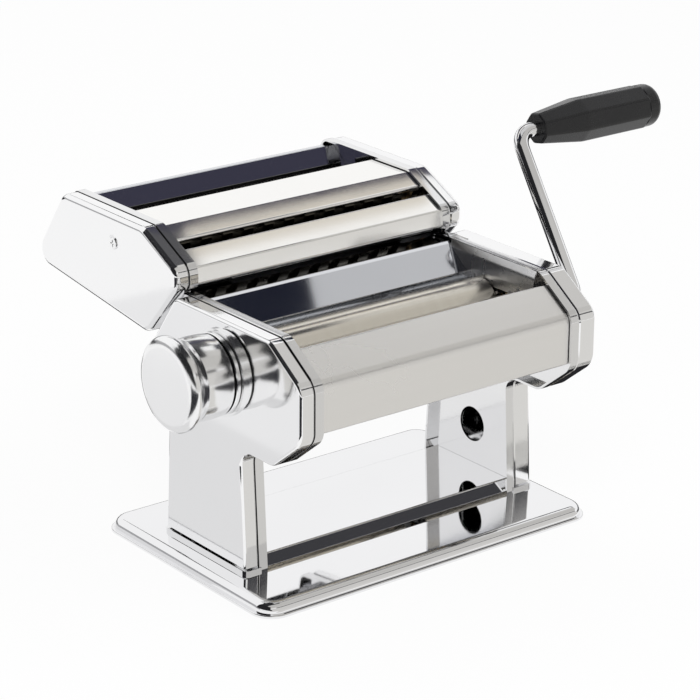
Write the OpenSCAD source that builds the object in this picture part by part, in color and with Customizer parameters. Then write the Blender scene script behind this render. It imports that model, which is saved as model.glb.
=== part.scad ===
// Hand cranked pasta machine: sheet rolling body on a pressed base, with a lift-off cutter attachment.
// Millimetres. X runs along the rollers, -Y is the front, Z is up, the origin is under the base's middle.

/* [Base] */
// Width of the base over its lip
base_w = 211; // [200:1:240]
// Depth of the base over its lip
base_d = 143; // [130:1:160]
// Height of the base's top face
base_h = 7; // [6:0.5:12]
// Corner radius of the base
base_corner_r = 12; // [7:0.5:14]
// Radius of the rounded shoulder round the base's top
base_shoulder_r = 5; // [2:0.1:5]
// Width of the lip that stands out round the foot of the base
base_lip_w = 1.6; // [1:0.1:3]
// Thickness of the base's sheet
base_t = 1.5; // [1:0.1:1.8]
// How far the body stands to the right of the base's middle
body_shift = 1.3; // [-4:0.1:4]
// How far the body stands in front of the base's middle
body_forward = 3.5; // [0:0.1:6]

/* [Side frames] */
// Distance between the inner faces of the two side frames
inner_w = 164.6; // [160:0.2:180]
// Thickness of the frame sheet
sheet_t = 1.2; // [0.8:0.1:2]
// Width of the flange that turns inwards round each frame
flange_w = 5.5; // [4:0.1:7]
// Corner radius of the frames
frame_r = 4; // [2:0.5:6]
// Height of the body's top above the roller axes
top_rise = 27.3; // [24:0.1:31]
// How far the body reaches to the front
body_front = 75; // [72:0.5:80]
// How far the body reaches to the rear
body_rear = 58; // [56:0.5:64]
// Depth of the sloping part of the front
front_bevel_d = 25.3; // [22:0.1:28]
// Height of the sloping part of the front
front_bevel_h = 16.9; // [12:0.1:20]
// Drop from the roller axes to the lower end of the upright front
front_drop = 17.8; // [15:0.1:22]
// Depth of the slope under the front
under_front_d = 23; // [18:0.5:28]
// Drop from the roller axes to the underside of the body beside the leg
under_drop = 36; // [33:0.5:40]
// Depth of the slope under the rear
under_rear_d = 13; // [8:0.5:18]
// Drop from the roller axes to the lower end of the upright rear
rear_drop = 19; // [16:0.5:22]
// Where the top ends at the rear
top_rear = 34; // [32:0.5:38]
// Lean of the sloping rear from upright, in degrees
rear_lean = 36.2; // [32:0.2:40]
// Middle of the leg in depth
leg_y = 4.5; // [0:0.5:8]
// Width of the leg at its top
leg_top_w = 61; // [54:0.5:66]
// Width of the leg at its foot
leg_foot_w = 68.6; // [60:0.2:74]
// Thickness of the foot plate under each leg
foot_t = 1.8; // [1.2:0.1:3]
// How far the foot plate stands out past the leg
foot_margin = 0.8; // [0.4:0.1:2]
// Height of the cross plate between the legs
cross_h = 5.5; // [3:0.5:9]
// Radius of the table clamp's hole in each leg
clamp_hole_r = 9.6; // [8:0.1:11]
// Height of the table clamp's hole above the base
clamp_hole_h = 27; // [18:0.5:34]

/* [Covers and panels] */
// Depth of the end covers
cover_d = 8; // [7:0.1:10]
// Depth of the body's right cover
right_cover_d = 11; // [9:0.1:13]
// Thickness of the covers
cover_t = 1; // [0.8:0.1:1.5]
// Radius of the covers' rounded edges
cover_r = 4.5; // [3:0.1:5.5]
// How far the covers stand back from the frames' outline
cover_inset = 0.6; // [0.3:0.1:2]
// How far the body's covers stop short of the frames' rear edges
cover_rear_in = 5.8; // [0:0.1:6.5]
// Gap between a cover and the foot plate
cover_foot_gap = 1; // [0.5:0.1:3]
// Thickness of the bent panels
panel_t = 1; // [0.6:0.1:1.5]
// Gap between a panel and the flange that it sits under
panel_gap = 0.5; // [0.4:0.1:1]
// How far the front panel's lip lies below the body's top edge, along the slope
lip_drop = 6; // [4:0.2:9]
// Width of the hem turned under at a panel's lip
hem_w = 4; // [2:0.2:6]
// Height of the front panel's lower edge above the end of the upright front
panel_rise = 2.2; // [0.8:0.1:8]
// Width of the return at the front panel's lower edge
panel_return = 4; // [2:0.5:8]
// Depth at which the chute's rear wall starts at the top
chute_y = 20; // [16:0.5:24]
// Depth of the chute's rear wall from top to foot
chute_d = 18; // [14:0.5:20]
// Height of the chute's rear wall
chute_h = 12.5; // [10:0.5:14]
// Height of the sloping dough guides at the ends of the chute
guide_h = 5.5; // [3:0.5:7]
// Length of the dough guides
guide_l = 50; // [40:1:56]

/* [Rollers and crank] */
// Height of the roller axes above the base
axis_h = 100.5; // [98:0.5:110]
// Depth of the drive roller's axis, towards the front
drive_y = 39.4; // [37:0.2:42]
// Radius of the rollers
roller_r = 14; // [13:0.1:14.2]
// Room at each end of the rollers for a gear and the yoke
roller_room = 7.3; // [7:0.1:12]
// Distance between the roller axes at the middle setting
axis_gap = 29.4; // [29.4:0.05:30]
// Throw of the eccentrics that set the roller gap
throw = 1.05; // [0.8:0.05:1.05]
// Turn of the knob from the widest to the narrowest gap
knob_turn = 150; // [120:5:150]
// Settings of the knob
settings = 7; // [5:1:9]
// Radius of the drive shaft
shaft_r = 6.5; // [6:0.1:7]
// Width of the rollers' gears
gear_w = 4; // [3:0.1:4.2]
// Teeth of the rollers' gears
gear_teeth = 14; // [14:1:14]
// Radius of the crank's rod
rod_r = 4; // [3.5:0.1:4.2]
// Reach of the crank from its axis to the grip's axis
crank_reach = 95; // [80:0.5:95]
// Lean of the crank from upright, in degrees
crank_lean = 33; // [0:1:60]
// Distance of the crank's arm from the right cover
crank_stand = 20.5; // [16:0.5:30]
// Radius of the bends of the crank, at the rod's middle
bend_r = 9; // [7:0.5:11]
// Depth of the crank's socket in the drive shaft
socket_d = 20; // [14:0.5:24]
// Length of the grip without its cap
grip_l = 73; // [66:1:84]
// Radius of the grip at its inner end
grip_neck_r = 8.6; // [8.2:0.1:9.5]
// Radius of the grip at its widest
grip_r = 12.4; // [11:0.1:12.4]
// Radius of the grip at its cap
grip_end_r = 11; // [10:0.1:12]
// Length of the grip's end cap
grip_cap_l = 9; // [6:0.5:12]

/* [Setting knob] */
// Radius of the knob's front disc
knob_r = 24.1; // [20:0.1:24.5]
// Thickness of the knob's front disc
knob_disc_t = 5; // [4:0.1:7]
// Radius of the knob's barrel
barrel_r = 19.4; // [18:0.1:20]
// Length of the knob's barrel
barrel_l = 25.1; // [22:0.1:28]
// How far the knob pulls out
knob_pull = 5; // [3:0.1:6]
// Radius of the index ring behind the knob
index_r = 22; // [20:0.1:24]
// Thickness of the index ring
index_t = 1.6; // [1.2:0.1:2.2]
// Turns of the knob's spring
spring_turns = 6; // [4:1:7]
// Radius of the spring's wire
wire_r = 0.6; // [0.4:0.05:0.7]

/* [Cutter attachment] */
// Height of the attachment's top above the body's top
cut_top = 28.8; // [28:0.1:32]
// Depth of the attachment's top, from the body's rear top edge to the front corner
cut_top_front = 22.5; // [20:0.5:25]
// Depth of the attachment's top, from the body's rear top edge to the rear corner
cut_top_rear = 95.5; // [94:0.5:100]
// How far the attachment's nose reaches over the body
cut_nose = 7.2; // [6.6:0.1:8]
// Height of the attachment's nose above the body's top
cut_nose_h = 14; // [13.4:0.1:15]
// Height of the nose's lower end above the body's top
cut_nose_low = 5; // [4:0.1:7]
// How far the attachment reaches down along the sloping rear
cut_seat_l = 32.6; // [31:0.2:36]
// Reach of the attachment to the rear, from the body's rear top edge
cut_rear = 119; // [116:0.5:124]
// Gap between the attachment and the body's sloping rear
seat_gap = 0.3; // [0.2:0.05:0.5]
// Radius of the cutting discs
disc_r = 10.5; // [10.3:0.1:10.7]
// Radius of the grooves between the discs
groove_r = 7.4; // [7:0.1:7.6]
// Distance between the axes of a pair of cutters
cutter_gap = 19.5; // [19.2:0.1:20]
// Width of the wide ribbons
wide_w = 6.5; // [5:0.1:7]
// Width of the fine ribbons
fine_w = 2; // [1.8:0.1:2.4]
// Length of the opening between the panels over the wide cutters
wide_slot = 6.2; // [5:0.1:8]
// Half of the distance between the attachment's two tongues
tongue_x = 55; // [40:1:65]
// Width of a tongue
tongue_w = 16; // [12:0.5:24]
// Length of a tongue below its shoulder
tongue_l = 17; // [12:0.5:18]

/* [Hidden] */
$fn = 64;
// Radial clearance of a running fit
run_fit = 0.05;
// Clearance of parts that pass each other
pass = 0.3;
// Round points on each rounded corner of an outline
arc_steps = 5;
// Round points on each rounded edge of a cover
edge_steps = 4;
// A cut reaches this far past the face that it opens
over = 1;
// Thickness of the layers that a rounded edge is spanned over
skin = 0.01;

// Planes along X, measured from the body's middle
web_in = inner_w / 2;
web_out = web_in + sheet_t;
flange_in = web_out - flange_w;
cover_face = web_out + cover_d;
right_face = web_out + right_cover_d;
roller_end = web_in - roller_room;
gear_end = roller_end + gear_w;
yoke_t = 1.8;
yoke_in = gear_end + pass * 2;
yoke_out = yoke_in + yoke_t;

// Heights above the base
body_top = axis_h + top_rise;
front_low = axis_h - front_drop;
under_h = axis_h - under_drop;
rear_low = axis_h - rear_drop;
panel_low = front_low + panel_rise;

// Axes in the plane of the frames, as [depth, height]
drive_axis = [-drive_y, axis_h];
knob_axis = drive_axis + [axis_gap, 0];
rest_phase = (180 - knob_turn) / 2;
roller_axis = knob_axis + throw * [cos(rest_phase), sin(rest_phase)];
clamp_axis = [leg_y, clamp_hole_h];

// Gears: the driven gear is turned a little, because the eccentric lifts its axis in mid travel
gear_tip_r = 15.6;
gear_root_r = 12.2;
gear_tip_half = 2;
gear_root_half = 4.6;
mesh_shift = 2;
cutter_teeth = 12;
cutter_tooth_out = 1.45;
cutter_tooth_in = 1.85;
cutter_tip_r = cutter_gap / 2 + cutter_tooth_out;
cutter_root_r = cutter_gap / 2 - cutter_tooth_in;
cutter_tip_half = 2.5;
cutter_root_half = 6;

// Small hardware
screw_r = 2;
screw_head_r = 3.8;
screw_head_h = 2.4;
thread_l = 10;
bush_wall = 2.5;
bush_l = 4.5;
bush_in = web_in - pass * 3;
tie_r = 4;
cut_tie_r = 3;
hex_slip = 0.1;
pin_r = 1.4;
eccentric_r = 6;
sleeve_r = 9;
sleeve_l = 9;
rod_hole_r = 6;
crank_hole_gap = 1.5;
crank_hole_r = shaft_r + crank_hole_gap;
shaft_back = 0.5;

// Outline of the body's side frames: depth, height and corner radius, against the clock
rear_slope = [sin(rear_lean), -cos(rear_lean)];
rear_normal = [cos(rear_lean), sin(rear_lean)];
rear_high = body_top - (body_rear - top_rear) / tan(rear_lean);
fillet_r = 6;

function leg_half(z) = (leg_foot_w + (leg_top_w - leg_foot_w) * z / under_h) / 2;

function body_head() = [
    [top_rear, body_top, frame_r],
    [-body_front + front_bevel_d, body_top, frame_r],
    [-body_front, body_top - front_bevel_h, frame_r],
    [-body_front, front_low, frame_r],
    [-body_front + under_front_d, under_h, frame_r],
    [body_rear - under_rear_d, under_h, frame_r],
    [body_rear, rear_low, frame_r],
    [body_rear, rear_high, frame_r]];

function cover_head() = [for (p = body_head()) [p.x > leg_y ? p.x - cover_rear_in : p.x, p.y, p.z]];

function leg_shape(foot, top) = [
    [leg_y - leg_half(top), top, 0],
    [leg_y - leg_half(foot), foot, 0],
    [leg_y + leg_half(foot), foot, 0],
    [leg_y + leg_half(top), top, 0]];

function body_outline(foot) = let (h = body_head(), l = leg_shape(foot, under_h)) concat(
    [for (i = [0:4]) h[i]],
    [[l[0].x, l[0].y, fillet_r], l[1], l[2], [l[3].x, l[3].y, fillet_r]],
    [for (i = [5:7]) h[i]]);

// Outline of the attachment's frames, from the body's rear top edge
seat_low = seat_gap * rear_normal + cut_seat_l * rear_slope;
nose_heel = (seat_gap - cut_nose_low * rear_normal.y) / rear_normal.x;
cover_nose_up = 2;
heel_in = 2.3;
heel_rise = 12;
heel_h = 10;
cut_heel = [cut_rear - heel_in, seat_low.y + heel_rise];

function cut_corners(nose) = concat(
    [[cut_top_rear, cut_top, frame_r]],
    [[cut_top_front, cut_top, frame_r]],
    [[-cut_nose, cut_nose_h, frame_r / 2]],
    nose,
    [[seat_low.x, seat_low.y, frame_r / 2]],
    [[cut_heel.x, cut_heel.y, frame_r]],
    [[cut_rear, cut_heel.y + heel_h, frame_r]]);

function cut_outline() = cut_corners([
    [-cut_nose, cut_nose_low, frame_r / 4],
    [nose_heel, cut_nose_low, frame_r / 4]]);

function cut_cover_outline() = cut_corners([[-cut_nose, cut_nose_low + cover_nose_up, frame_r / 4]]);

// Cutter axes and tie rods of the attachment, from the body's rear top edge
wide_turn = 44;
wide_driven = [19.5, 1.2];
wide_drive = wide_driven + cutter_gap * [cos(wide_turn), sin(wide_turn)];
fine_drive = [62, 2.2];
fine_driven = fine_drive + [cutter_gap, 0];
cut_ties = [[48.5, 13.7], [102, -3.5], [3, 9]];
cut_drives = [wide_drive, fine_drive];
cut_driven = [wide_driven, fine_driven];
cutter_shaft_r = 4;

// Tie rods of the body: distances in from its front and rear, and from the heights that they go by
front_tie = [9, -7];
rear_tie = [12.5, 6];
low_tie = [7.5, 5.5];
body_ties = [
    [front_tie.x - body_front, axis_h + front_tie.y],
    [body_rear - rear_tie.x, rear_low + rear_tie.y],
    [leg_y + low_tie.x, under_h + low_tie.y]];

// Tongues and rails on the sloping rear: distances out from the slope and down along it
tongue_n = seat_gap + sheet_t;
tongue_t = 1.8;
shoulder_s = 11;
hook_s = 3;
rail_s = shoulder_s + pass;
rail_l = 18;
rail_wall = 1.4;
rear_inset = sheet_t + panel_gap;

// Setting knob, measured out from the left cover's face
knob_back = index_t + pass;
knob_wall = 3;
knob_bore_r = 14;
barrel_end = knob_back + barrel_l;
collar_r = 9;
collar_t = 2.5;
spring_slack = 2.8;
spring_solid = 2 * wire_r * (spring_turns + 1);
collar_at = knob_back + knob_wall + spring_solid + knob_pull + spring_slack;
index_pin_r = 15;
index_slot_r = pin_r + pass;
index_notch_deep = 0.5;
index_notch_r = index_slot_r + index_notch_deep;
spring_r = 6;

// Crank, measured from the body's middle
shaft_end = right_face - shaft_back;
socket_in = shaft_end - socket_d;
cut_shaft_end = cover_face - shaft_back;
crank_x = right_face + crank_stand;
grip_gap = 4.5;
grip_x = crank_x + bend_r + grip_gap;
grip_end = grip_x + grip_l;
nut_t = 1.2;
nut_r = 6.4;
recess_d = 6;
nut_gap = 0.8;
recess_r = nut_r + nut_gap;
pin_end = grip_end - recess_d + nut_t + 2 * nut_gap;
// Where the grip is widest, and how its cap is set in, as shares of its length and radius
grip_widest = 0.38;
cap_share = 0.92;

// Outline helpers

function unit(v) = v / norm(v);
function flat(p) = [p.x, p.y];
function cross2(a, b) = a.x * b.y - a.y * b.x;

// Points of the arc that rounds the corner q between p and s
function corner_arc(p, q, s, r) = let (
    a = unit(p - q),
    b = unit(s - q),
    half = acos(a * b) / 2,
    centre = q + unit(a + b) * r / sin(half),
    from = q + a * r / tan(half) - centre,
    to = q + b * r / tan(half) - centre)
    [for (i = [0:arc_steps]) centre + r * unit(from * (arc_steps - i) + to * i)];

function rounded(c) = let (n = len(c)) [for (i = [0:n - 1]) each (c[i].z > 0
    ? corner_arc(flat(c[(i + n - 1) % n]), flat(c[i]), flat(c[(i + 1) % n]), c[i].z)
    : [flat(c[i])])];

// The same outline moved inwards by d, with its rounded corners kept concentric
function inset(c, d) = let (n = len(c)) [for (i = [0:n - 1]) let (
    a = unit(flat(c[i]) - flat(c[(i + n - 1) % n])),
    b = unit(flat(c[(i + 1) % n]) - flat(c[i])),
    na = [-a.y, a.x],
    nb = [-b.y, b.x],
    m = flat(c[i]) + (na + nb) * d / (1 + na * nb),
    r = c[i].z == 0 ? 0 : max(c[i].z + (cross2(a, b) > 0 ? -d : d), 0.2))
    [m.x, m.y, r]];

// Closed outline of a bent sheet whose one face follows the points p, with its thickness on the left
function strip(p, t) = let (n = len(p), far = [for (i = [0:n - 1]) let (
    a = unit(i > 0 ? p[i] - p[i - 1] : p[1] - p[0]),
    b = unit(i < n - 1 ? p[i + 1] - p[i] : p[n - 1] - p[n - 2]),
    na = [-a.y, a.x],
    nb = [-b.y, b.x])
    p[i] + (na + nb) * t / (1 + na * nb)])
    concat(p, [for (i = [n - 1:-1:0]) far[i]]);

function along(p, q, d) = p + unit(q - p) * d;

function gear_points(teeth, tip, root, tip_half, root_half, aim) = [for (i = [0:teeth - 1])
    each [for (k = [[root, -root_half], [tip, -tip_half], [tip, tip_half], [root, root_half]])
        let (a = aim + i * 360 / teeth + k[1]) k[0] * [cos(a), sin(a)]]];

// Placing helpers

module on_body() {
    translate([body_shift, -body_forward, base_h]) children();
}

module on_seat() {
    on_body() translate([0, top_rear, body_top]) children();
}

module slab(x0, x1) {
    translate([x0, 0, 0]) rotate([90, 0, 90]) linear_extrude(x1 - x0) children();
}

module rod(x0, x1, p, r) {
    translate([x0, p.x, p.y]) rotate([0, 90, 0]) cylinder(h = x1 - x0, r = r);
}

module hex_rod(x0, x1, p, r, turn) {
    translate([x0, p.x, p.y]) rotate([turn, 0, 0]) rotate([0, 90, 0]) cylinder(h = x1 - x0, r = r, $fn = 6);
}

module left() {
    mirror([1, 0, 0]) children();
}

module both_ends() {
    children();
    left() children();
}

module ring(x0, x1, p, r_out, r_in) {
    difference() {
        rod(x0, x1, p, r_out);
        rod(x0 - over, x1 + over, p, r_in);
    }
}

// Solid of an outline with one rounded edge, from the plane x0 to x1
module pillow(c, x0, x1, r) {
    hull() {
        slab(x0, x1 - r) polygon(rounded(c));
        for (i = [1:edge_steps]) let (a = 90 * i / edge_steps, x = x1 - r + r * sin(a))
            slab(x - skin, x) polygon(rounded(inset(c, r * (1 - cos(a)))));
    }
}

module side_frame(c) {
    slab(web_in, web_out) polygon(rounded(c));
    slab(flange_in, web_in) difference() {
        polygon(rounded(c));
        polygon(rounded(inset(c, sheet_t)));
    }
}

module screw(x, p, shank, into) {
    rod(x, x + screw_head_h, p, screw_head_r);
    rod(x - shank - into, x, p, screw_r);
}

// Base

function base_shape(lip) = let (w = base_w / 2 - lip, d = base_d / 2 - lip) [
    [w, d, base_corner_r], [-w, d, base_corner_r], [-w, -d, base_corner_r], [w, -d, base_corner_r]];

module base_block(lip, top, r) {
    c = base_shape(lip);
    hull() {
        linear_extrude(top - r) polygon(rounded(c));
        for (i = [1:edge_steps]) let (a = 90 * i / edge_steps)
            translate([0, 0, top - r + r * sin(a) - skin]) linear_extrude(skin)
                polygon(rounded(inset(c, r * (1 - cos(a)))));
    }
}

function base_screw_places() = [for (s = [-1, 1], y = [-1, 1])
    [body_shift + s * (web_out + cover_d / 2), leg_y - body_forward + y * leg_foot_w / 4]];

module base_plate() {
    color("gainsboro") difference() {
        union() {
            base_block(base_lip_w, base_h, base_shoulder_r);
            linear_extrude(base_t) polygon(rounded(base_shape(0)));
        }
        translate([0, 0, -over])
            base_block(base_lip_w + base_t, base_h - base_t + over, base_shoulder_r - base_t);
        for (p = base_screw_places()) translate([p.x, p.y, 0]) cylinder(h = base_h + over, r = screw_r);
    }
}

module base_screws() {
    color("silver") for (p = base_screw_places()) translate([p.x, p.y, base_h - base_t]) {
        translate([0, 0, -screw_head_h]) cylinder(h = screw_head_h, r = screw_head_r);
        cylinder(h = base_t + foot_t, r = screw_r);
    }
}

// The cross plate is bent down to the base at its front and rear, and clears the flanges at the legs' feet
module cross_plate() {
    half = leg_half(cross_h) - sheet_t - panel_gap;
    front = leg_y - half;
    rear = leg_y + half;
    color("gainsboro") on_body() for (part = [[web_in, sheet_t], [flange_in, 0]])
        slab(-part[0], part[0]) polygon(strip([[rear, part[1]], [rear, cross_h], [front, cross_h],
            [front, part[1]]], sheet_t));
}

// Side frames and covers

module body_frame(face) {
    difference() {
        union() {
            side_frame(body_outline(0));
            translate([web_in, leg_y - leg_half(0) - foot_margin, 0])
                cube([face + foot_margin - web_in, leg_foot_w + 2 * foot_margin, foot_t]);
        }
        rod(flange_in, web_out + over, drive_axis, shaft_r + bush_wall);
        rod(flange_in, web_out + over, knob_axis, rod_r + bush_wall);
        rod(flange_in, web_out + over, clamp_axis, clamp_hole_r);
        for (p = body_ties) rod(flange_in, web_out + over, p, screw_r);
        for (y = [-1, 1]) translate([web_out + cover_d / 2, leg_y + y * leg_foot_w / 4, -over])
            cylinder(h = foot_t + 2 * over, r = screw_r);
    }
}

module left_frame() {
    color("silver") on_body() left() body_frame(cover_face);
}

module right_frame() {
    color("silver") on_body() body_frame(right_face);
}

module body_cover(face, hole_at, hole_r) {
    foot = foot_t + cover_foot_gap;
    neck = under_h + fillet_r * 2;
    head = inset(cover_head(), cover_inset);
    leg = inset([for (p = leg_shape(foot - cover_inset, neck)) [p.x, p.y, frame_r / 2]], cover_inset);
    difference() {
        union() {
            pillow(head, web_out, face, cover_r);
            pillow(leg, web_out, face, cover_r);
        }
        pillow(inset(head, cover_t), web_out - over, face - cover_t, cover_r - cover_t);
        pillow(inset(leg, cover_t), web_out - over, face - cover_t, cover_r - cover_t);
        rod(web_out, face + over, hole_at, hole_r);
    }
}

module left_cover() {
    color("gainsboro") on_body() left() body_cover(cover_face, knob_axis, rod_hole_r);
}

module right_cover() {
    color("gainsboro") on_body() body_cover(right_face, drive_axis, crank_hole_r);
}

// Panels, guides and tie rods of the body

hem_dir = [0.6, -0.8];
guide_start = 6;
scraper_turn = 20;
scraper_l = 12;
bar_w = 5;
bar_t = 2.5;

module front_panel() {
    c = inset(body_head(), sheet_t + panel_gap);
    lip = along(flat(c[1]), flat(c[2]), lip_drop);
    low = [c[2].x, panel_low];
    path = [lip + hem_w * hem_dir, lip, flat(c[2]), low, low + [panel_return, 0]];
    color("gainsboro") on_body() slab(-web_in, web_in) polygon(strip(path, panel_t));
}

module rear_panel() {
    c = inset(body_head(), rear_inset);
    top = [chute_y, c[0].y];
    path = [[c[6].x, c[6].y + rear_inset], flat(c[7]), flat(c[0]), top, top - [chute_d, chute_h]];
    color("silver") on_body() slab(-web_in, web_in) polygon(strip(path, panel_t));
}

module dough_guide() {
    top = [web_in, axis_h + gear_tip_r + throw + panel_t + guide_h];
    low = [roller_end + pass, top.y - guide_h];
    translate([0, guide_l - drive_y - guide_start, 0]) rotate([90, 0, 0]) linear_extrude(guide_l)
        polygon([top, low, low + [0, panel_t], top + [0, panel_t]]);
}

module left_dough_guide() {
    color("gainsboro") on_body() left() dough_guide();
}

module right_dough_guide() {
    color("gainsboro") on_body() dough_guide();
}

module tie_rod(p, r) {
    difference() {
        rod(-web_in, web_in, p, r);
        both_ends() rod(web_in - thread_l, web_in + over, p, screw_r);
    }
}

module tie_rods() {
    color("silver") on_body() for (p = body_ties) tie_rod(p, tie_r);
}

module tie_rod_screws() {
    color("dimgray") on_body() both_ends() for (p = body_ties) screw(web_out, p, sheet_t, thread_l);
}

// A blade that stands at a roller, with a stiff bar at its foot; its thickness lies away from the roller
module scraper(axis, aim, blade_end, bar_end) {
    front = cos(aim) < 0;
    tip = axis + (roller_r + pass) * [cos(aim), sin(aim)];
    turn = aim + (front ? -scraper_turn : scraper_turn);
    out = [cos(turn), sin(turn)];
    foot = tip + out * scraper_l;
    heel = foot - out * bar_w;
    slab(-blade_end, blade_end) polygon(strip(front ? [tip, foot] : [foot, tip], panel_t));
    slab(-bar_end, bar_end) polygon(strip(front ? [heel, foot] : [foot, heel], bar_t));
}

front_scraper_aim = 225;

module front_scraper() {
    color("silver") on_body() scraper(drive_axis, front_scraper_aim, roller_end - pass, web_in);
}

module drive_bushes() {
    color("peru") on_body() both_ends()
        ring(bush_in, bush_in + bush_l, drive_axis, shaft_r + bush_wall, shaft_r + run_fit);
}

module eccentric_bearings() {
    color("peru") on_body() both_ends()
        ring(web_in, web_in + bush_l, knob_axis, rod_r + bush_wall, rod_r + run_fit);
}

module index_ring() {
    step = knob_turn / (settings - 1);
    color("silver") on_body() translate([-cover_face, knob_axis.x, knob_axis.y]) rotate([90, 0, 90])
        mirror([0, 0, 1]) difference() {
            cylinder(h = index_t, r = index_r);
            translate([0, 0, -over]) cylinder(h = index_t + 2 * over, r = rod_hole_r);
            translate([0, 0, -over]) rotate_extrude(angle = knob_turn)
                translate([index_pin_r - index_slot_r, 0]) square([2 * index_slot_r, index_t + 2 * over]);
            for (i = [0:settings - 1]) rotate([0, 0, i * step]) translate([index_pin_r, 0, -over])
                cylinder(h = index_t + 2 * over, r = index_notch_r);
        }
}

// Crank, drive roller and gears

module drive_roller() {
    color("gainsboro") on_body() difference() {
        union() {
            rod(-roller_end, roller_end, drive_axis, roller_r);
            rod(-web_out - bush_l, shaft_end, drive_axis, shaft_r);
        }
        hex_rod(socket_in, shaft_end + over, drive_axis, rod_r + hex_slip, -crank_lean);
    }
}

module roller_gear(axis, aim, bore) {
    slab(roller_end, gear_end) difference() {
        translate(axis) polygon(gear_points(gear_teeth, gear_tip_r, gear_root_r,
            gear_tip_half, gear_root_half, aim));
        translate(axis) circle(r = bore);
    }
}

module drive_gear() {
    color("darkgray") on_body() roller_gear(drive_axis, 0, shaft_r);
}

module driven_gear() {
    color("darkgray") on_body()
        roller_gear(roller_axis, 180 + 180 / gear_teeth + mesh_shift, sleeve_r + run_fit);
}

// A quarter bend of the rod in the crank's own plane
module rod_bend(x, z, start) {
    translate([x, 0, z]) rotate([90, 0, 0]) rotate([0, 0, start])
        rotate_extrude(angle = 90) translate([bend_r, 0]) circle(r = rod_r);
}

module in_crank() {
    on_body() translate([0, drive_axis.x, drive_axis.y]) rotate([-crank_lean, 0, 0]) children();
}

module crank_rod() {
    color("gainsboro") in_crank() {
        hex_rod(socket_in + over, shaft_end, [0, 0], rod_r, 0);
        rod(shaft_end, crank_x - bend_r, [0, 0], rod_r);
        rod_bend(crank_x - bend_r, bend_r, -90);
        translate([crank_x, 0, bend_r]) cylinder(h = crank_reach - 2 * bend_r, r = rod_r);
        rod_bend(crank_x + bend_r, crank_reach - bend_r, 90);
        rod(crank_x + bend_r, pin_end, [0, crank_reach], rod_r);
    }
}

module grip_push_nut() {
    color("silver") in_crank() ring(pin_end - nut_t, pin_end, [0, crank_reach], nut_r, rod_r);
}

module crank_grip() {
    widest = grip_l * grip_widest;
    color("#26262a") in_crank() difference() {
        translate([grip_x, 0, crank_reach]) rotate([0, 90, 0]) {
            cylinder(h = widest, r1 = grip_neck_r, r2 = grip_r, $fn = 8);
            translate([0, 0, widest]) cylinder(h = grip_l - widest, r1 = grip_r, r2 = grip_end_r, $fn = 8);
        }
        rod(grip_x - over, grip_end + over, [0, crank_reach], rod_r + run_fit);
        rod(grip_end - recess_d, grip_end + over, [0, crank_reach], recess_r);
    }
}

module grip_cap() {
    edge = grip_cap_l / 2;
    cap_r = grip_end_r * cap_share;
    color("#1d1d20") in_crank() translate([grip_end, 0, crank_reach]) rotate([0, 90, 0])
        rotate_extrude() polygon(concat(
            [[0, 0], [cap_r, 0]],
            [for (i = [0:edge_steps]) let (a = 90 * i / edge_steps)
                [cap_r - edge * (1 - cos(a)), grip_cap_l - edge + edge * sin(a)]],
            [[0, grip_cap_l]]));
}

// Setting knob, eccentric shaft and the roller that it carries

module eccentric_shaft() {
    color("silver") on_body() difference() {
        union() {
            hex_rod(-cover_face - collar_at, -cover_face - index_t, knob_axis, rod_r, 0);
            rod(-cover_face - index_t, web_in + bush_l, knob_axis, rod_r);
            both_ends() rod(yoke_out - sleeve_l - gear_w - yoke_t, yoke_out, roller_axis, eccentric_r);
        }
        rod(-cover_face - collar_at - over, -cover_face - collar_at + thread_l, knob_axis, screw_r);
    }
}

module knob_collar() {
    at = -cover_face - collar_at;
    color("silver") on_body() {
        rod(at - collar_t, at, knob_axis, collar_r);
        rod(at - over / 2, at + thread_l, knob_axis, screw_r);
    }
}

// Turned piece on the knob's axis: its profile is given as radius and distance out from the left cover
module on_knob() {
    on_body() translate([-cover_face, knob_axis.x, knob_axis.y]) rotate([0, -90, 0]) children();
}

// Depth of the barrel's waist, and the lengths of its foot and of its step behind the disc
groove = 1.8;
foot_l = 2.1;
step_l = 7.4;
disc_edge = 0.45;

module knob_barrel() {
    color("gainsboro") on_knob() difference() {
        rotate_extrude() polygon([
            [0, knob_back], [barrel_r + groove, knob_back], [barrel_r + groove, knob_back + foot_l],
            [barrel_r, knob_back + foot_l + groove], [barrel_r, barrel_end - step_l - groove],
            [barrel_r + groove, barrel_end - step_l], [barrel_r + groove, barrel_end - groove],
            [barrel_r, barrel_end], [knob_bore_r, barrel_end], [knob_bore_r, knob_back + knob_wall],
            [0, knob_back + knob_wall]]);
        cylinder(h = barrel_end, r = rod_r + hex_slip, $fn = 6);
        translate([0, index_pin_r, 0]) cylinder(h = barrel_end, r = pin_r);
    }
}

module knob_cap() {
    edge = knob_disc_t * disc_edge;
    color("gainsboro") on_knob() rotate_extrude() polygon(concat(
        [[0, barrel_end], [knob_r - edge, barrel_end]],
        [for (i = [0:edge_steps]) let (a = 90 * i / edge_steps)
            [knob_r - edge + edge * sin(a), barrel_end + edge - edge * cos(a)]],
        [for (i = [0:edge_steps]) let (a = 90 * i / edge_steps)
            [knob_r - edge + edge * cos(a), barrel_end + knob_disc_t - edge + edge * sin(a)]],
        [[0, barrel_end + knob_disc_t]]));
}

module detent_pin() {
    color("silver") on_body() translate([0, index_pin_r, 0])
        rod(-cover_face - knob_back - knob_wall, -cover_face - pass, knob_axis, pin_r);
}

// Spring: one wire wound round the shaft between the knob's back wall and the collar
spring_from = knob_back + knob_wall + wire_r;
spring_to = collar_at - wire_r;
spring_steps = 16;
wire_sides = 6;

function spring_at(k) = let (a = 360 * k / spring_steps)
    [spring_r * cos(a), spring_r * sin(a),
        spring_from + (spring_to - spring_from) * k / (spring_turns * spring_steps)];

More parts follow.
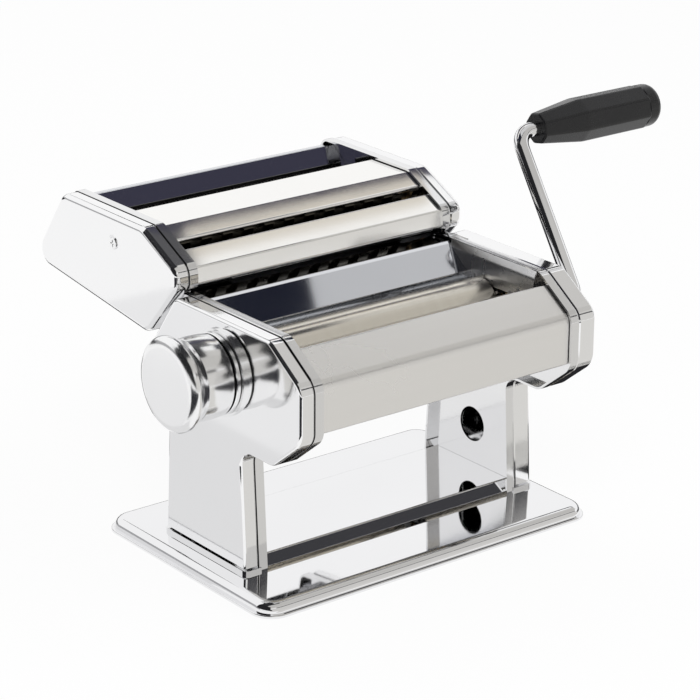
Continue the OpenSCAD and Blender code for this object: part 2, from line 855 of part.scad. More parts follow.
function spring_ring(k) = let (c = spring_at(k), a = 360 * k / spring_steps)
    [for (j = [0:wire_sides - 1]) let (b = 360 * j / wire_sides)
        c + wire_r * [cos(b) * cos(a), cos(b) * sin(a), sin(b)]];

module knob_spring() {
    last = spring_turns * spring_steps;
    n = wire_sides;
    pitch = (spring_to - spring_from) / spring_turns;
    echo(str("least gap between the spring's turns: ", pitch - 2 * wire_r));
    color("silver") on_knob() polyhedron(
        points = [for (k = [0:last]) each spring_ring(k)],
        faces = concat(
            [[for (j = [0:n - 1]) j]],
            [[for (j = [n - 1:-1:0]) last * n + j]],
            [for (k = [0:last - 1], j = [0:n - 1]) each [
                [k * n + j, (k + 1) * n + j, k * n + (j + 1) % n],
                [k * n + (j + 1) % n, (k + 1) * n + j, (k + 1) * n + (j + 1) % n]]]));
}

yoke_aim = -45;
yoke_reach = 26;

module roller_yoke() {
    arm = [cos(yoke_aim), sin(yoke_aim)];
    color("peru") on_body() both_ends() difference() {
        union() {
            rod(yoke_out - sleeve_l - gear_w - yoke_t, yoke_out, roller_axis, sleeve_r);
            slab(yoke_in, yoke_out) translate(roller_axis) {
                circle(r = sleeve_r + 2);
                rotate(yoke_aim) translate([0, -sleeve_r / 2]) square([yoke_reach, sleeve_r]);
            }
        }
        rod(roller_end - 2 * sleeve_l, yoke_out + over, roller_axis, eccentric_r + run_fit);
    }
}

module rear_scraper() {
    color("silver") on_body() scraper(roller_axis, yoke_aim, roller_end - pass, yoke_in);
}

module adjustable_roller() {
    color("gainsboro") on_body() ring(-roller_end, roller_end, roller_axis, roller_r, sleeve_r + run_fit);
}

// Rails on the body's sloping rear, and the attachment's tongues that slide into them

module on_slope(x, n0, n1, s0, s1, w) {
    multmatrix([[1, 0, 0, 0], [0, rear_normal.x, rear_slope.x, 0], [0, rear_normal.y, rear_slope.y, 0],
        [0, 0, 0, 1]]) translate([x - w / 2, n0, s0]) cube([w, n1 - n0, s1 - s0]);
}

module attachment_rails() {
    slot_n0 = tongue_n - pass;
    slot_n1 = tongue_n + tongue_t + pass;
    slot_w = tongue_w + 2 * pass;
    color("silver") on_seat() both_ends() difference() {
        on_slope(tongue_x, -rear_inset, slot_n1 + rail_wall, rail_s, rail_s + rail_l,
            slot_w + 2 * rail_wall);
        on_slope(tongue_x, slot_n0, slot_n1, rail_s - over, rail_s + rail_l + over, slot_w);
    }
}

module attachment_tongues() {
    color("silver") on_seat() {
        on_slope(0, tongue_n, tongue_n + tongue_t, hook_s, shoulder_s, inner_w);
        both_ends()
            on_slope(tongue_x, tongue_n, tongue_n + tongue_t, hook_s, shoulder_s + tongue_l, tongue_w);
    }
}

// Cutter attachment: frames, covers and panels

module cut_frame() {
    difference() {
        side_frame(cut_outline());
        for (p = cut_drives) rod(flange_in, web_out + over, p, shaft_r + bush_wall);
        for (p = cut_driven) rod(flange_in, web_out + over, p, cutter_shaft_r + bush_wall);
        for (p = cut_ties) rod(flange_in, web_out + over, p, screw_r);
    }
}

module cutter_left_frame() {
    color("silver") on_seat() left() cut_frame();
}

module cutter_right_frame() {
    color("silver") on_seat() cut_frame();
}

dimple_r = 5;
dimple_d = 1;
post_r = 4.5;

module cut_cover() {
    c = inset(cut_cover_outline(), cover_inset);
    p = cut_ties[0];
    difference() {
        union() {
            difference() {
                pillow(c, web_out, cover_face, cover_r);
                pillow(inset(c, cover_t), web_out - over, cover_face - cover_t, cover_r - cover_t);
            }
            rod(web_out, cover_face - cover_t, p, post_r);
            rod(cover_face - cover_t - dimple_d, cover_face - cover_t, p, dimple_r + cover_t);
        }
        rod(web_out - over, cover_face + over, p, screw_r);
        rod(cover_face - dimple_d, cover_face + over, p, dimple_r);
        children();
    }
}

module cutter_left_cover() {
    color("gainsboro") on_seat() left() cut_cover();
}

module cutter_right_cover() {
    color("gainsboro") on_seat() cut_cover() {
        for (p = cut_drives) rod(web_out, cover_face + over, p, crank_hole_r);
    }
}

module cut_panel(path) {
    on_seat() slab(-web_in, web_in) polygon(strip(path, panel_t));
}

cut_inner = inset(cut_outline(), sheet_t + panel_gap);
slot_start = 12;
slot_rear = along(flat(cut_inner[1]), flat(cut_inner[2]), slot_start);
slot_front = along(flat(cut_inner[1]), flat(cut_inner[2]), slot_start + wide_slot);
// The hopper between the centre and rear panels: where it starts, and how its two walls slope down
hopper_y = 52.5;
hopper_front = [7, -11];
hopper_rear = [12, 9];
hopper_rail = 3.5;

module cutter_front_panel() {
    color("gainsboro") cut_panel([slot_front + hem_w * hem_dir, slot_front, flat(cut_inner[2]),
        flat(cut_inner[3])]);
}

module cutter_centre_panel() {
    back = [hopper_y, cut_inner[1].y];
    color("gainsboro") cut_panel([back + hopper_front, back, flat(cut_inner[1]), slot_rear,
        slot_rear + hem_w * hem_dir]);
}

rail_drop = 1.6;

module cutter_rear_panel() {
    rear_edge = flat(cut_inner[0]) - flat(cut_inner[7]);
    top = flat(cut_inner[0]) - rear_edge * rail_drop / rear_edge.y;
    rail = top - [hopper_rail, 0];
    color("silver") cut_panel([flat(cut_inner[7]), top, rail, rail - hopper_rear]);
}

module cutter_tie_rods() {
    color("silver") on_seat() for (p = cut_ties) tie_rod(p, cut_tie_r);
}

module cutter_tie_screws() {
    color("dimgray") on_seat() both_ends() for (i = [1:2]) screw(web_out, cut_ties[i], sheet_t, thread_l);
}

module cutter_cover_screws() {
    x = cover_face - dimple_d;
    slot_w = 0.9;
    slot_l = screw_head_r * 1.1;
    p = cut_ties[0];
    head_h = dimple_d * 0.8;
    color("silver") on_seat() both_ends() difference() {
        union() {
            rod(x, x + head_h, p, screw_head_r);
            rod(web_in - thread_l, x, p, screw_r);
        }
        translate([x + head_h / 2, p.x - slot_l / 2, p.y - slot_w / 2]) cube([over, slot_l, slot_w]);
        translate([x + head_h / 2, p.x - slot_w / 2, p.y - slot_l / 2]) cube([over, slot_w, slot_l]);
    }
}

module cutter_bushes() {
    x = bush_in;
    color("peru") on_seat() both_ends() {
        for (p = cut_drives) ring(x, x + bush_l, p, shaft_r + bush_wall, shaft_r + run_fit);
        for (p = cut_driven) ring(x, x + bush_l, p, cutter_shaft_r + bush_wall, cutter_shaft_r + run_fit);
    }
}

// Cutters: one turned profile of discs and grooves; a pair stands half a pitch apart

side_slip = 0.15;

function disc_count(w, shift) = floor((roller_end - w / 2 - shift * w) / (2 * w));

function disc_places(w, shift) = let (n = disc_count(w, shift)) [for (i = [-n - (shift > 0 ? 1 : 0):n])
    (2 * i + shift) * w];

module cutter(w, shift, axis, is_drive) {
    h = w / 2 - side_slip;
    difference() {
        union() {
            translate([0, axis.x, axis.y]) rotate([0, 90, 0]) rotate_extrude() polygon(concat(
                [[0, -roller_end], [groove_r, -roller_end]],
                [for (x = disc_places(w, shift)) each [
                    [groove_r, x - h], [disc_r, x - h], [disc_r, x + h], [groove_r, x + h]]],
                [[groove_r, roller_end], [0, roller_end]]));
            if (is_drive) {
                rod(-web_out - bush_l, cut_shaft_end, axis, shaft_r);
            } else {
                rod(-web_out - bush_l, web_out + bush_l, axis, cutter_shaft_r);
            }
        }
        if (is_drive) hex_rod(cut_shaft_end - socket_d, cut_shaft_end + over, axis, rod_r + hex_slip, 0);
    }
}

module wide_drive_cutter() {
    color("gray") on_seat() cutter(wide_w, 1, wide_drive, true);
}

module wide_driven_cutter() {
    color("gray") on_seat() cutter(wide_w, 0, wide_driven, false);
}

module fine_drive_cutter() {
    color("gray") on_seat() cutter(fine_w, 1, fine_drive, true);
}

module fine_driven_cutter() {
    color("gray") on_seat() cutter(fine_w, 0, fine_driven, false);
}

module cutter_gear(axis, aim, bore) {
    left() slab(roller_end, gear_end) difference() {
        translate(axis) polygon(gear_points(cutter_teeth, cutter_tip_r, cutter_root_r,
            cutter_tip_half, cutter_root_half, aim));
        translate(axis) circle(r = bore);
    }
}

module wide_drive_gear() {
    color("darkgray") on_seat() cutter_gear(wide_drive, wide_turn + 180, shaft_r);
}

module wide_driven_gear() {
    color("darkgray") on_seat() cutter_gear(wide_driven, wide_turn + 180 / cutter_teeth, cutter_shaft_r);
}

module fine_drive_gear() {
    color("darkgray") on_seat() cutter_gear(fine_drive, 0, shaft_r);
}

module fine_driven_gear() {
    color("darkgray") on_seat() cutter_gear(fine_driven, 180 + 180 / cutter_teeth, cutter_shaft_r);
}

// A comb strips one cutter: its teeth stand in the grooves and its spine joins the two frames
module comb(w, shift, axis, aim) {
    tooth_w = w - 2 * (side_slip + pass);
    tip = groove_r + 2 * pass;
    spine = disc_r + 3 * pass;
    spine_w = 4;
    comb_t = 1.2;
    translate([0, axis.x, axis.y]) rotate([aim, 0, 0]) {
        for (x = disc_places(w, 1 - shift)) if (abs(x) + tooth_w / 2 < roller_end)
            translate([x - tooth_w / 2, tip, -comb_t / 2]) cube([tooth_w, spine + over - tip, comb_t]);
        translate([-web_in, spine, -comb_t / 2]) cube([inner_w, spine_w, comb_t]);
    }
}

// The way that each comb's teeth point away from its cutter, in degrees
wide_comb_aims = [-30, 270];
fine_comb_aims = [225, -45];

module wide_comb() {
    color("#33333a") on_seat() {
        comb(wide_w, 1, wide_drive, wide_comb_aims[0]);
        comb(wide_w, 0, wide_driven, wide_comb_aims[1]);
    }
}

module fine_comb() {
    color("#33333a") on_seat() {
        comb(fine_w, 1, fine_drive, fine_comb_aims[0]);
        comb(fine_w, 0, fine_driven, fine_comb_aims[1]);
    }
}

base_plate();
base_screws();
cross_plate();
left_frame();
right_frame();
left_cover();
right_cover();
front_panel();
rear_panel();
left_dough_guide();
right_dough_guide();
tie_rods();
tie_rod_screws();
front_scraper();
drive_bushes();
eccentric_bearings();
index_ring();
attachment_rails();
drive_roller();
drive_gear();
crank_rod();
grip_push_nut();
crank_grip();
grip_cap();
eccentric_shaft();
knob_collar();
knob_barrel();
knob_cap();
detent_pin();
knob_spring();
roller_yoke();
rear_scraper();
adjustable_roller();
driven_gear();
cutter_left_frame();
cutter_right_frame();
cutter_left_cover();
cutter_right_cover();
cutter_front_panel();
cutter_centre_panel();
cutter_rear_panel();
cutter_tie_rods();
cutter_tie_screws();
cutter_cover_screws();
cutter_bushes();
attachment_tongues();
wide_comb();
fine_comb();
wide_drive_cutter();
wide_driven_cutter();
fine_drive_cutter();
fine_driven_cutter();
wide_drive_gear();
wide_driven_gear();
fine_drive_gear();
fine_driven_gear();
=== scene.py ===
"""Looks of a hand cranked pasta machine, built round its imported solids."""

import logging
import math
from dataclasses import dataclass
from enum import Enum
from typing import Callable, Dict, Iterable, List, Optional, Sequence, Tuple

import bmesh
import bpy
from mathutils import Matrix, Vector


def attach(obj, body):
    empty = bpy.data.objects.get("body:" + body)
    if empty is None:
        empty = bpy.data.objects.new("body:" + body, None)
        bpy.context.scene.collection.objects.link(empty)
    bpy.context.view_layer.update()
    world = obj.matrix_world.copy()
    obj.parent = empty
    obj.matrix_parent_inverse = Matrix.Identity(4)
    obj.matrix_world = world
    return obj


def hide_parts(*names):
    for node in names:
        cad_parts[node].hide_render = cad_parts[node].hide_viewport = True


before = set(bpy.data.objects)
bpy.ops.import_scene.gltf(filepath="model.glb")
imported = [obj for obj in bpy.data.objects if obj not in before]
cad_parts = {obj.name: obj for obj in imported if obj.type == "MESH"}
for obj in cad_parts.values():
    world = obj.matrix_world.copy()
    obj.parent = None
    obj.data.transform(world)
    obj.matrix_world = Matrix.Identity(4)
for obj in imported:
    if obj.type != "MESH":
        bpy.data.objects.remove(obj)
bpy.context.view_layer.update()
LOG = logging.getLogger("pasta_machine")

Point = Tuple[float, float]
Vec3 = Tuple[float, float, float]
Corner = Tuple[float, float, float]
Face = bmesh.types.BMFace
Verts = List[bmesh.types.BMVert]
Tree = bpy.types.NodeTree
Socket = bpy.types.NodeSocket

MM = 0.001
SMOOTH_ANGLE = math.radians(32.0)
QUARTER = math.pi / 2
# Places closer than this, in millimetres, count as one
NEAR = 1e-3
# The share of an axis from which a face looks along it, and from which an edge runs along it
SQUARE_ON, PARALLEL = 0.9, 0.999
# The angles below which edges and rims are too flat to be rounded
FLAT_EDGE, FLAT_RIM = 0.01, 0.5
# How far a hole's tool reaches into a sheet's back and out of its front
HOLE_IN, HOLE_OUT = 3.0, 2.0
# The height in metres of the fine relief in a finish
RELIEF = 0.0002


class Rides(Enum):
    """The moving bodies that new pieces ride on."""

    BODY = "body"
    CRANK = "crank"
    GRIP = "grip"
    KNOB = "knob"
    ADJUSTABLE_ROLLER = "adjustable_roller"
    ATTACHMENT = "cutter_attachment"


class Slot(Enum):
    """The record's material slots."""

    POLISHED = "polished_steel"
    SATIN = "satin_steel"
    ROLLER = "roller_steel"
    ALUMINIUM = "satin_aluminium"
    ZINC = "zinc_steel"
    PLASTIC = "black_plastic"


class Side(Enum):
    """The two ends of the machine, as the sign of X."""

    LEFT = -1
    RIGHT = 1

    @property
    def word(self) -> str:
        """Returns the side's name as the pieces spell it."""
        return self.name.lower()

    def mirror(self) -> Matrix:
        """Returns the mirror that takes a right-hand piece to this side."""
        return Matrix.Scale(self.value, 4, (1, 0, 0))


@dataclass(frozen=True)
class Place:
    """Where a sub-assembly's own zero lies in the part, in millimetres."""

    x: float
    y: float
    z: float

    def matrix(self) -> Matrix:
        """Returns the shift from the sub-assembly's zero to the part's."""
        return Matrix.Translation((self.x, self.y, self.z))


ON_TABLE = Place(0.0, 0.0, 0.0)
ON_BODY = Place(1.3, -3.5, 7.0)
ON_SEAT = Place(1.3, 30.5, 134.8)
AT_DRIVE = Place(1.3, -42.9, 107.5)
AT_KNOB = Place(1.3, -13.5, 107.5)
AT_ROLLER = Place(1.3, -12.4858, 107.7718)


# Shader nodes and the effects that several finishes share


def add_node(tree: Tree, kind: str, values: Optional[Dict] = None, **settings: object) -> bpy.types.Node:
    """Adds a shader node.

    Args:
        tree: The tree that it goes into.
        kind: Its type, without the word ShaderNode.
        values: The values of its inputs.
        settings: Its own settings, which come first because they choose the inputs.

    Returns:
        The node.
    """
    node = tree.nodes.new(f"ShaderNode{kind}")
    for key, setting in settings.items():
        setattr(node, key, setting)
    for key, value in (values or {}).items():
        node.inputs[key].default_value = value
    return node


class Effects:
    """Builds the shared shader node groups once and hands them out."""

    AXES = ("Along X", "Along Y", "Along Z")
    _made: Dict[str, Tree] = {}

    @classmethod
    def _group(cls, name: str, inputs: Dict[str, float], outputs: Sequence[str]) -> Tuple:
        """Starts a node group with float sockets.

        Args:
            name: The group's name.
            inputs: The names and defaults of its inputs.
            outputs: The names of its outputs.

        Returns:
            The node tree, its input node and its output node.
        """
        tree = bpy.data.node_groups.new(name, "ShaderNodeTree")
        for key, value in inputs.items():
            tree.interface.new_socket(key, in_out="INPUT", socket_type="NodeSocketFloat").default_value = value
        for key in outputs:
            tree.interface.new_socket(key, in_out="OUTPUT", socket_type="NodeSocketFloat")
        cls._made[name] = tree
        return tree, tree.nodes.new("NodeGroupInput"), tree.nodes.new("NodeGroupOutput")

    @classmethod
    def brushing(cls) -> Tree:
        """Returns the group for fine lines drawn along one direction."""
        if "Brushing" in cls._made:
            return cls._made["Brushing"]
        tree, start, end = cls._group("Brushing", dict.fromkeys(cls.AXES, 40.0), ["Height", "Streak"])
        link = tree.links.new
        scale = add_node(tree, "CombineXYZ")
        for i, key in enumerate(cls.AXES):
            link(start.outputs[key], scale.inputs[i])
        stretch = add_node(tree, "VectorMath", operation="MULTIPLY")
        link(add_node(tree, "TexCoord").outputs["Object"], stretch.inputs[0])
        link(scale.outputs[0], stretch.inputs[1])
        for key, values in (("Height", {"Scale": 1.0, "Detail": 3.0, "Roughness": 0.7}),
                            ("Streak", {"Scale": 0.23, "Detail": 2.0})):
            noise = add_node(tree, "TexNoise", values)
            link(stretch.outputs[0], noise.inputs["Vector"])
            link(noise.outputs[0], end.inputs[key])
        return tree

    @classmethod
    def handling(cls) -> Tree:
        """Returns the group for the faint clouds that hands and cloths leave on metal."""
        if "Handling" in cls._made:
            return cls._made["Handling"]
        tree, start, end = cls._group("Handling", {"Scale": 18.0, "Low": 0.1, "High": 0.2}, ["Roughness", "Cloud"])
        link = tree.links.new
        cloud = add_node(tree, "TexNoise", {"Detail": 5.0, "Roughness": 0.6, "Distortion": 0.6})
        link(add_node(tree, "TexCoord").outputs["Object"], cloud.inputs["Vector"])
        link(start.outputs["Scale"], cloud.inputs["Scale"])
        spread = add_node(tree, "MapRange", {"From Min": 0.32, "From Max": 0.68})
        link(cloud.outputs[0], spread.inputs["Value"])
        link(start.outputs["Low"], spread.inputs["To Min"])
        link(start.outputs["High"], spread.inputs["To Max"])
        link(spread.outputs[0], end.inputs["Roughness"])
        link(cloud.outputs[0], end.inputs["Cloud"])
        return tree


# Finishes


@dataclass(frozen=True)
class Finish:
    """What every finish has: two close tones and a range of roughness."""

    name: str
    tint: Vec3
    shade: Vec3
    rough_low: float
    rough_high: float

    def material(self) -> bpy.types.Material:
        """Returns the finish's material, made the first time it is asked for."""
        found = bpy.data.materials.get(self.name)
        if found:
            return found
        mat = bpy.data.materials.new(self.name)
        mat.use_nodes = True
        self._wire(mat.node_tree, mat.node_tree.nodes["Principled BSDF"])
        return mat

    def _wire(self, tree: Tree, shader: bpy.types.Node) -> None:
        """Joins the finish's own nodes to the shader."""
        raise NotImplementedError

    def _handle(self, tree: Tree, shader: bpy.types.Node, scale: float) -> bpy.types.Node:
        """Lets the marks of handling set the roughness.

        Args:
            tree: The material's nodes.
            shader: Its shader.
            scale: How small the marks are.

        Returns:
            The marks' node.
        """
        marks = add_node(tree, "Group", {"Scale": scale, "Low": self.rough_low, "High": self.rough_high},
                         node_tree=Effects.handling())
        tree.links.new(marks.outputs["Roughness"], shader.inputs["Roughness"])
        return marks

    def _colour(self, tree: Tree, shader: bpy.types.Node, share: Socket) -> None:
        """Blends the two tones.

        Args:
            tree: The material's nodes.
            shader: Its shader.
            share: The lighter tone's share.
        """
        blend = add_node(tree, "Mix", {"A": (*self.shade, 1.0), "B": (*self.tint, 1.0)}, data_type="RGBA")
        tree.links.new(share, blend.inputs["Factor"])
        tree.links.new(blend.outputs["Result"], shader.inputs["Base Color"])

    @staticmethod
    def _raise(tree: Tree, shader: bpy.types.Node, height: Socket, strength: float) -> None:
        """Adds fine relief.

        Args:
            tree: The material's nodes.
            shader: Its shader.
            height: The relief's height.
            strength: How strongly it shows.
        """
        bump = add_node(tree, "Bump", {"Strength": strength, "Distance": RELIEF})
        tree.links.new(height, bump.inputs["Height"])
        tree.links.new(bump.outputs["Normal"], shader.inputs["Normal"])


@dataclass(frozen=True)
class SteelFinish(Finish):
    """Bare metal: polished, satin or ground."""

    cloud_scale: float
    brush: Vec3 = (60.0, 60.0, 60.0)
    brush_depth: float = 0.0

    def _wire(self, tree: Tree, shader: bpy.types.Node) -> None:
        """Joins the metal's marks and brush lines to the shader.

        Args:
            tree: The material's nodes.
            shader: Its shader.
        """
        shader.inputs["Metallic"].default_value = 1.0
        self._handle(tree, shader, self.cloud_scale)
        lines = add_node(tree, "Group", dict(zip(Effects.AXES, self.brush)), node_tree=Effects.brushing())
        self._colour(tree, shader, lines.outputs["Streak"])
        if self.brush_depth > 0.0:
            self._raise(tree, shader, lines.outputs["Height"], self.brush_depth)


@dataclass(frozen=True)
class PlasticFinish(Finish):
    """Moulded plastic with a fine grain."""

    cloud_scale: float = 45.0
    gloss: float = 0.38
    grain: float = 900.0
    grain_depth: float = 0.12

    def _wire(self, tree: Tree, shader: bpy.types.Node) -> None:
        """Joins the plastic's marks and grain to the shader.

        Args:
            tree: The material's nodes.
            shader: Its shader.
        """
        shader.inputs["Specular IOR Level"].default_value = self.gloss
        marks = self._handle(tree, shader, self.cloud_scale)
        self._colour(tree, shader, marks.outputs["Cloud"])
        grain = add_node(tree, "Group", dict.fromkeys(Effects.AXES, self.grain), node_tree=Effects.brushing())
        self._raise(tree, shader, grain.outputs["Height"], self.grain_depth)


COVER_STEEL = SteelFinish("Cover steel", (0.93, 0.93, 0.935), (0.90, 0.90, 0.905), 0.06, 0.10, 14.0)
FRAME_STEEL = SteelFinish("Frame steel", (0.84, 0.84, 0.845), (0.78, 0.78, 0.785), 0.07, 0.12, 20.0)
BASE_MIRROR = SteelFinish("Base mirror steel", (0.88, 0.88, 0.89), (0.84, 0.84, 0.85), 0.02, 0.05, 12.0)
PANEL_SATIN = SteelFinish(
    "Satin panel steel", (0.87, 0.86, 0.845), (0.85, 0.84, 0.825), 0.26, 0.32, 7.0, (25.0, 1400.0, 1400.0))
PANEL_BRIGHT = SteelFinish("Bright panel steel", (0.95, 0.94, 0.92), (0.91, 0.90, 0.88), 0.10, 0.16, 16.0)
# Steel whose darker, bluish tone is partly a painted dark reflection on the chute's and hopper's walls
CHUTE_STEEL_AND_REFLECTION = SteelFinish("Chute steel with painted dark reflection", (0.72, 0.73, 0.76), (0.66, 0.67, 0.70), 0.06, 0.10, 16.0)
GUIDE_STEEL = SteelFinish("Guide steel", (0.74, 0.74, 0.75), (0.66, 0.66, 0.67), 0.24, 0.32, 30.0)
ROLLER_STEEL = SteelFinish(
    "Ground roller steel", (0.84, 0.80, 0.72), (0.78, 0.74, 0.66), 0.16, 0.22, 18.0, (900.0, 30.0, 30.0), 0.06)
KNOB_SATIN = SteelFinish(
    "Turned knob aluminium", (0.93, 0.93, 0.93), (0.88, 0.88, 0.885), 0.15, 0.19, 25.0, (700.0, 60.0, 60.0), 0.02)
CRANK_CHROME = SteelFinish("Crank chrome", (0.86, 0.86, 0.865), (0.81, 0.81, 0.82), 0.05, 0.09, 30.0)
# Dark cutter steel, darkened further as painted shade for the slot that the cutters sit in
CUTTER_STEEL_AND_SHADE = SteelFinish("Cutter steel", (0.16, 0.15, 0.125), (0.09, 0.083, 0.07), 0.25, 0.35, 40.0)
# Blackened steel for the combs; on the hidden tongues and rails it is painted shade that darkens the gap behind the
# attachment's front panel
COMB_BLACK_AND_GAP_SHADE = SteelFinish("Blackened comb steel", (0.05, 0.05, 0.05), (0.03, 0.03, 0.03), 0.30, 0.42, 40.0)
# A near black finish that paints shade into the seam between frames and covers and into the knob's grooves
SEAM_SHADE = SteelFinish("Painted seam shade steel", (0.030, 0.030, 0.032), (0.015, 0.015, 0.016), 0.45, 0.60, 60.0)
ZINC_STEEL = SteelFinish("Zinc plated steel", (0.66, 0.67, 0.68), (0.56, 0.57, 0.58), 0.22, 0.32, 40.0)
GEAR_STEEL = SteelFinish("Cut gear steel", (0.50, 0.50, 0.505), (0.40, 0.40, 0.405), 0.25, 0.36, 40.0)
BUSH_BRONZE = SteelFinish("Bush bronze", (0.55, 0.40, 0.23), (0.46, 0.32, 0.17), 0.28, 0.40, 45.0)
GRIP_BLACK = PlasticFinish("Grip plastic", (0.011, 0.011, 0.012), (0.007, 0.007, 0.008), 0.22, 0.30)

NODE_FINISHES: Dict[str, Finish] = {
    # The cutters' dark steel is partly painted shade for their slot
    **dict.fromkeys(["wide_drive_cutter", "wide_driven_cutter", "fine_drive_cutter", "fine_driven_cutter"],
                    CUTTER_STEEL_AND_SHADE),
    # On the tongues and rails this dark finish is painted shade in the gap
    **dict.fromkeys(["wide_comb", "fine_comb", "attachment_tongues", "attachment_rails"], COMB_BLACK_AND_GAP_SHADE),
    **dict.fromkeys(["drive_gear", "driven_gear", "wide_drive_gear", "wide_driven_gear", "fine_drive_gear",
                     "fine_driven_gear"], GEAR_STEEL),
    **dict.fromkeys(["drive_bushes", "eccentric_bearings", "cutter_bushes", "roller_yoke"], BUSH_BRONZE),
    **dict.fromkeys(["front_scraper", "rear_scraper"], FRAME_STEEL),
    "index_ring": KNOB_SATIN,
    "drive_roller": ROLLER_STEEL,
}


# Shaping


def verts_of(geom: Iterable) -> Verts:
    """Picks the vertices out of an operator's result."""
    return [g for g in geom if isinstance(g, bmesh.types.BMVert)]


def nearest_radius(corners: Sequence[Corner], across: Tuple[int, int] = (1, 2)) -> Callable[[Vector], float]:
    """Prepares the radii of a bent or cut outline's corners.

    Args:
        corners: Two coordinates and the radius of each corner.
        across: The axes of the two coordinates.

    Returns:
        A function that gives the radius of the corner nearest to a place.
    """
    a, b = across

    def pick(mid: Vector) -> float:
        """Finds the radius of the nearest corner."""
        return min(corners, key=lambda c: (c[0] - mid[a]) ** 2 + (c[1] - mid[b]) ** 2)[2]

    return pick


class Workpiece:
    """One mesh being shaped, in millimetres of a sub-assembly's own zero."""

    def __init__(self, name: str) -> None:
        """Starts an empty mesh with the finished piece's name."""
        self.name = name
        self.bm = bmesh.new()

    def face(self, points: Iterable[Vec3]) -> Face:
        """Makes one flat face through a ring of points."""
        return self.bm.faces.new([self.bm.verts.new(p) for p in points])

    def outline(self, points: Iterable[Point], x: float) -> Face:
        """Makes one flat face across X from depths and heights."""
        return self.face((x, y, z) for y, z in points)

    def line(self, points: Iterable[Vec3]) -> Tuple[Verts, List[bmesh.types.BMEdge]]:
        """Joins points by edges and returns both."""
        verts = [self.bm.verts.new(p) for p in points]
        return verts, [self.bm.edges.new(pair) for pair in zip(verts, verts[1:])]

    def outwards(self) -> None:
        """Turns every face to look outwards."""
        bmesh.ops.recalc_face_normals(self.bm, faces=self.bm.faces[:])

    def flip(self) -> None:
        """Turns every face round."""
        bmesh.ops.reverse_faces(self.bm, faces=self.bm.faces[:])

    def solidify(self, thickness: float) -> None:
        """Gives an open skin the thickness of its sheet, inwards."""
        bmesh.ops.solidify(self.bm, geom=self.bm.faces[:], thickness=thickness)

    def drop(self, test: Callable[[Face], bool]) -> None:
        """Deletes the faces that pass a test."""
        bmesh.ops.delete(self.bm, geom=[f for f in self.bm.faces if test(f)], context="FACES_ONLY")

    def mark(self, test: Callable[[Face], bool]) -> None:
        """Gives the faces that pass a test the piece's second finish."""
        for face in self.bm.faces:
            face.material_index = 1 if test(face) else 0

    def shrink(self, face: Face, by: float) -> Face:
        """Moves a lone face's outline inwards and returns the face."""
        ring = bmesh.ops.inset_region(self.bm, faces=[face], thickness=by, use_even_offset=True)["faces"]
        bmesh.ops.delete(self.bm, geom=ring, context="FACES")
        return face

    def pull(self, face: Face) -> Tuple[Verts, Face]:
        """Draws a copy of a face out of it and returns the copy's vertices and the copy."""
        new = bmesh.ops.extrude_face_region(self.bm, geom=[face])["geom"]
        return verts_of(new), next(g for g in new if isinstance(g, Face))

    def thicken(self, face: Face, along: Vec3) -> None:
        """Pulls a lone face out into a closed block.

        Args:
            face: The face.
            along: The direction and distance.
        """
        bmesh.ops.translate(self.bm, vec=along, verts=self.pull(face)[0])
        bmesh.ops.holes_fill(self.bm, edges=[e for e in self.bm.edges if e.is_boundary], sides=0)
        self.outwards()

    def clear_inside(self) -> None:
        """Deletes the walls that are left inside where a face was pulled out step by step."""
        self.drop(lambda f: all(len(e.link_faces) > 2 for e in f.edges))

    def sheet(self, points: Sequence[Vec3], along: Vec3, outward: Vec3) -> None:
        """Draws a line of points out into a bent skin.

        Args:
            points: The line.
            along: The direction and distance.
            outward: The way that the outer side of its first strip looks.
        """
        new = bmesh.ops.extrude_edge_only(self.bm, edges=self.line(points)[1])["geom"]
        bmesh.ops.translate(self.bm, vec=along, verts=verts_of(new))
        self.outwards()
        self.bm.normal_update()
        middle = (Vector(points[0]) + Vector(points[1]) + Vector(along)) / 2
        first = min(self.bm.faces, key=lambda f: (f.calc_center_median() - middle).length)
        if first.normal.dot(Vector(outward)) < 0.0:
            self.flip()

    def bevel(self, edges: Sequence[bmesh.types.BMEdge], width: float, segments: int, clamp: bool = False) -> None:
        """Rounds some edges to one width.

        Args:
            edges: The edges.
            width: The width on each side.
            segments: Flats on each rounded edge.
            clamp: Whether neighbours keep each other from overlapping.
        """
        bmesh.ops.bevel(self.bm, geom=edges, offset=width, offset_type="OFFSET", segments=segments, profile=0.5,
                        affect="EDGES", material=-1, clamp_overlap=clamp)

    def round_edges(self, axis: int, radius: Callable[[Vector], float], segments: int) -> None:
        """Rounds the edges that run along one axis, each to a true radius.

        Args:
            axis: 0, 1 or 2 for X, Y or Z.
            radius: Gives an edge's radius from its middle; 0 leaves it sharp.
            segments: Flats on each rounded edge.
        """
        jobs = []
        for edge in self.bm.edges:
            run = edge.verts[1].co - edge.verts[0].co
            if edge.is_manifold and abs(run[axis]) > PARALLEL * run.length:
                r = radius((edge.verts[0].co + edge.verts[1].co) / 2)
                turn = edge.calc_face_angle(0.0)
                if r > 0.0 and turn > FLAT_EDGE:
                    jobs.append((edge, r * math.tan(turn / 2)))
        for edge, width in jobs:
            self.bevel([edge], width, segments)

    def round_rim(self, axis: int, level: float, radius: float, segments: int) -> None:
        """Rounds the edge round a flat face.

        Args:
            axis: The axis that the face looks along.
            level: Where the face lies on that axis.
            radius: The radius.
            segments: Flats on the rounded edge.
        """
        rim = [e for e in self.bm.edges if all(abs(v.co[axis] - level) < NEAR for v in e.verts)
               and e.calc_face_angle(0.0) > FLAT_RIM]
        self.bevel(rim, radius, segments)

    def soften(self, width: float, segments: int, over: float) -> None:
        """Takes the sharpness off every edge that turns by more than an angle in radians."""
        sharp = [e for e in self.bm.edges if e.is_manifold and e.calc_face_angle(0.0) > over]
        self.bevel(sharp, width, segments, clamp=True)

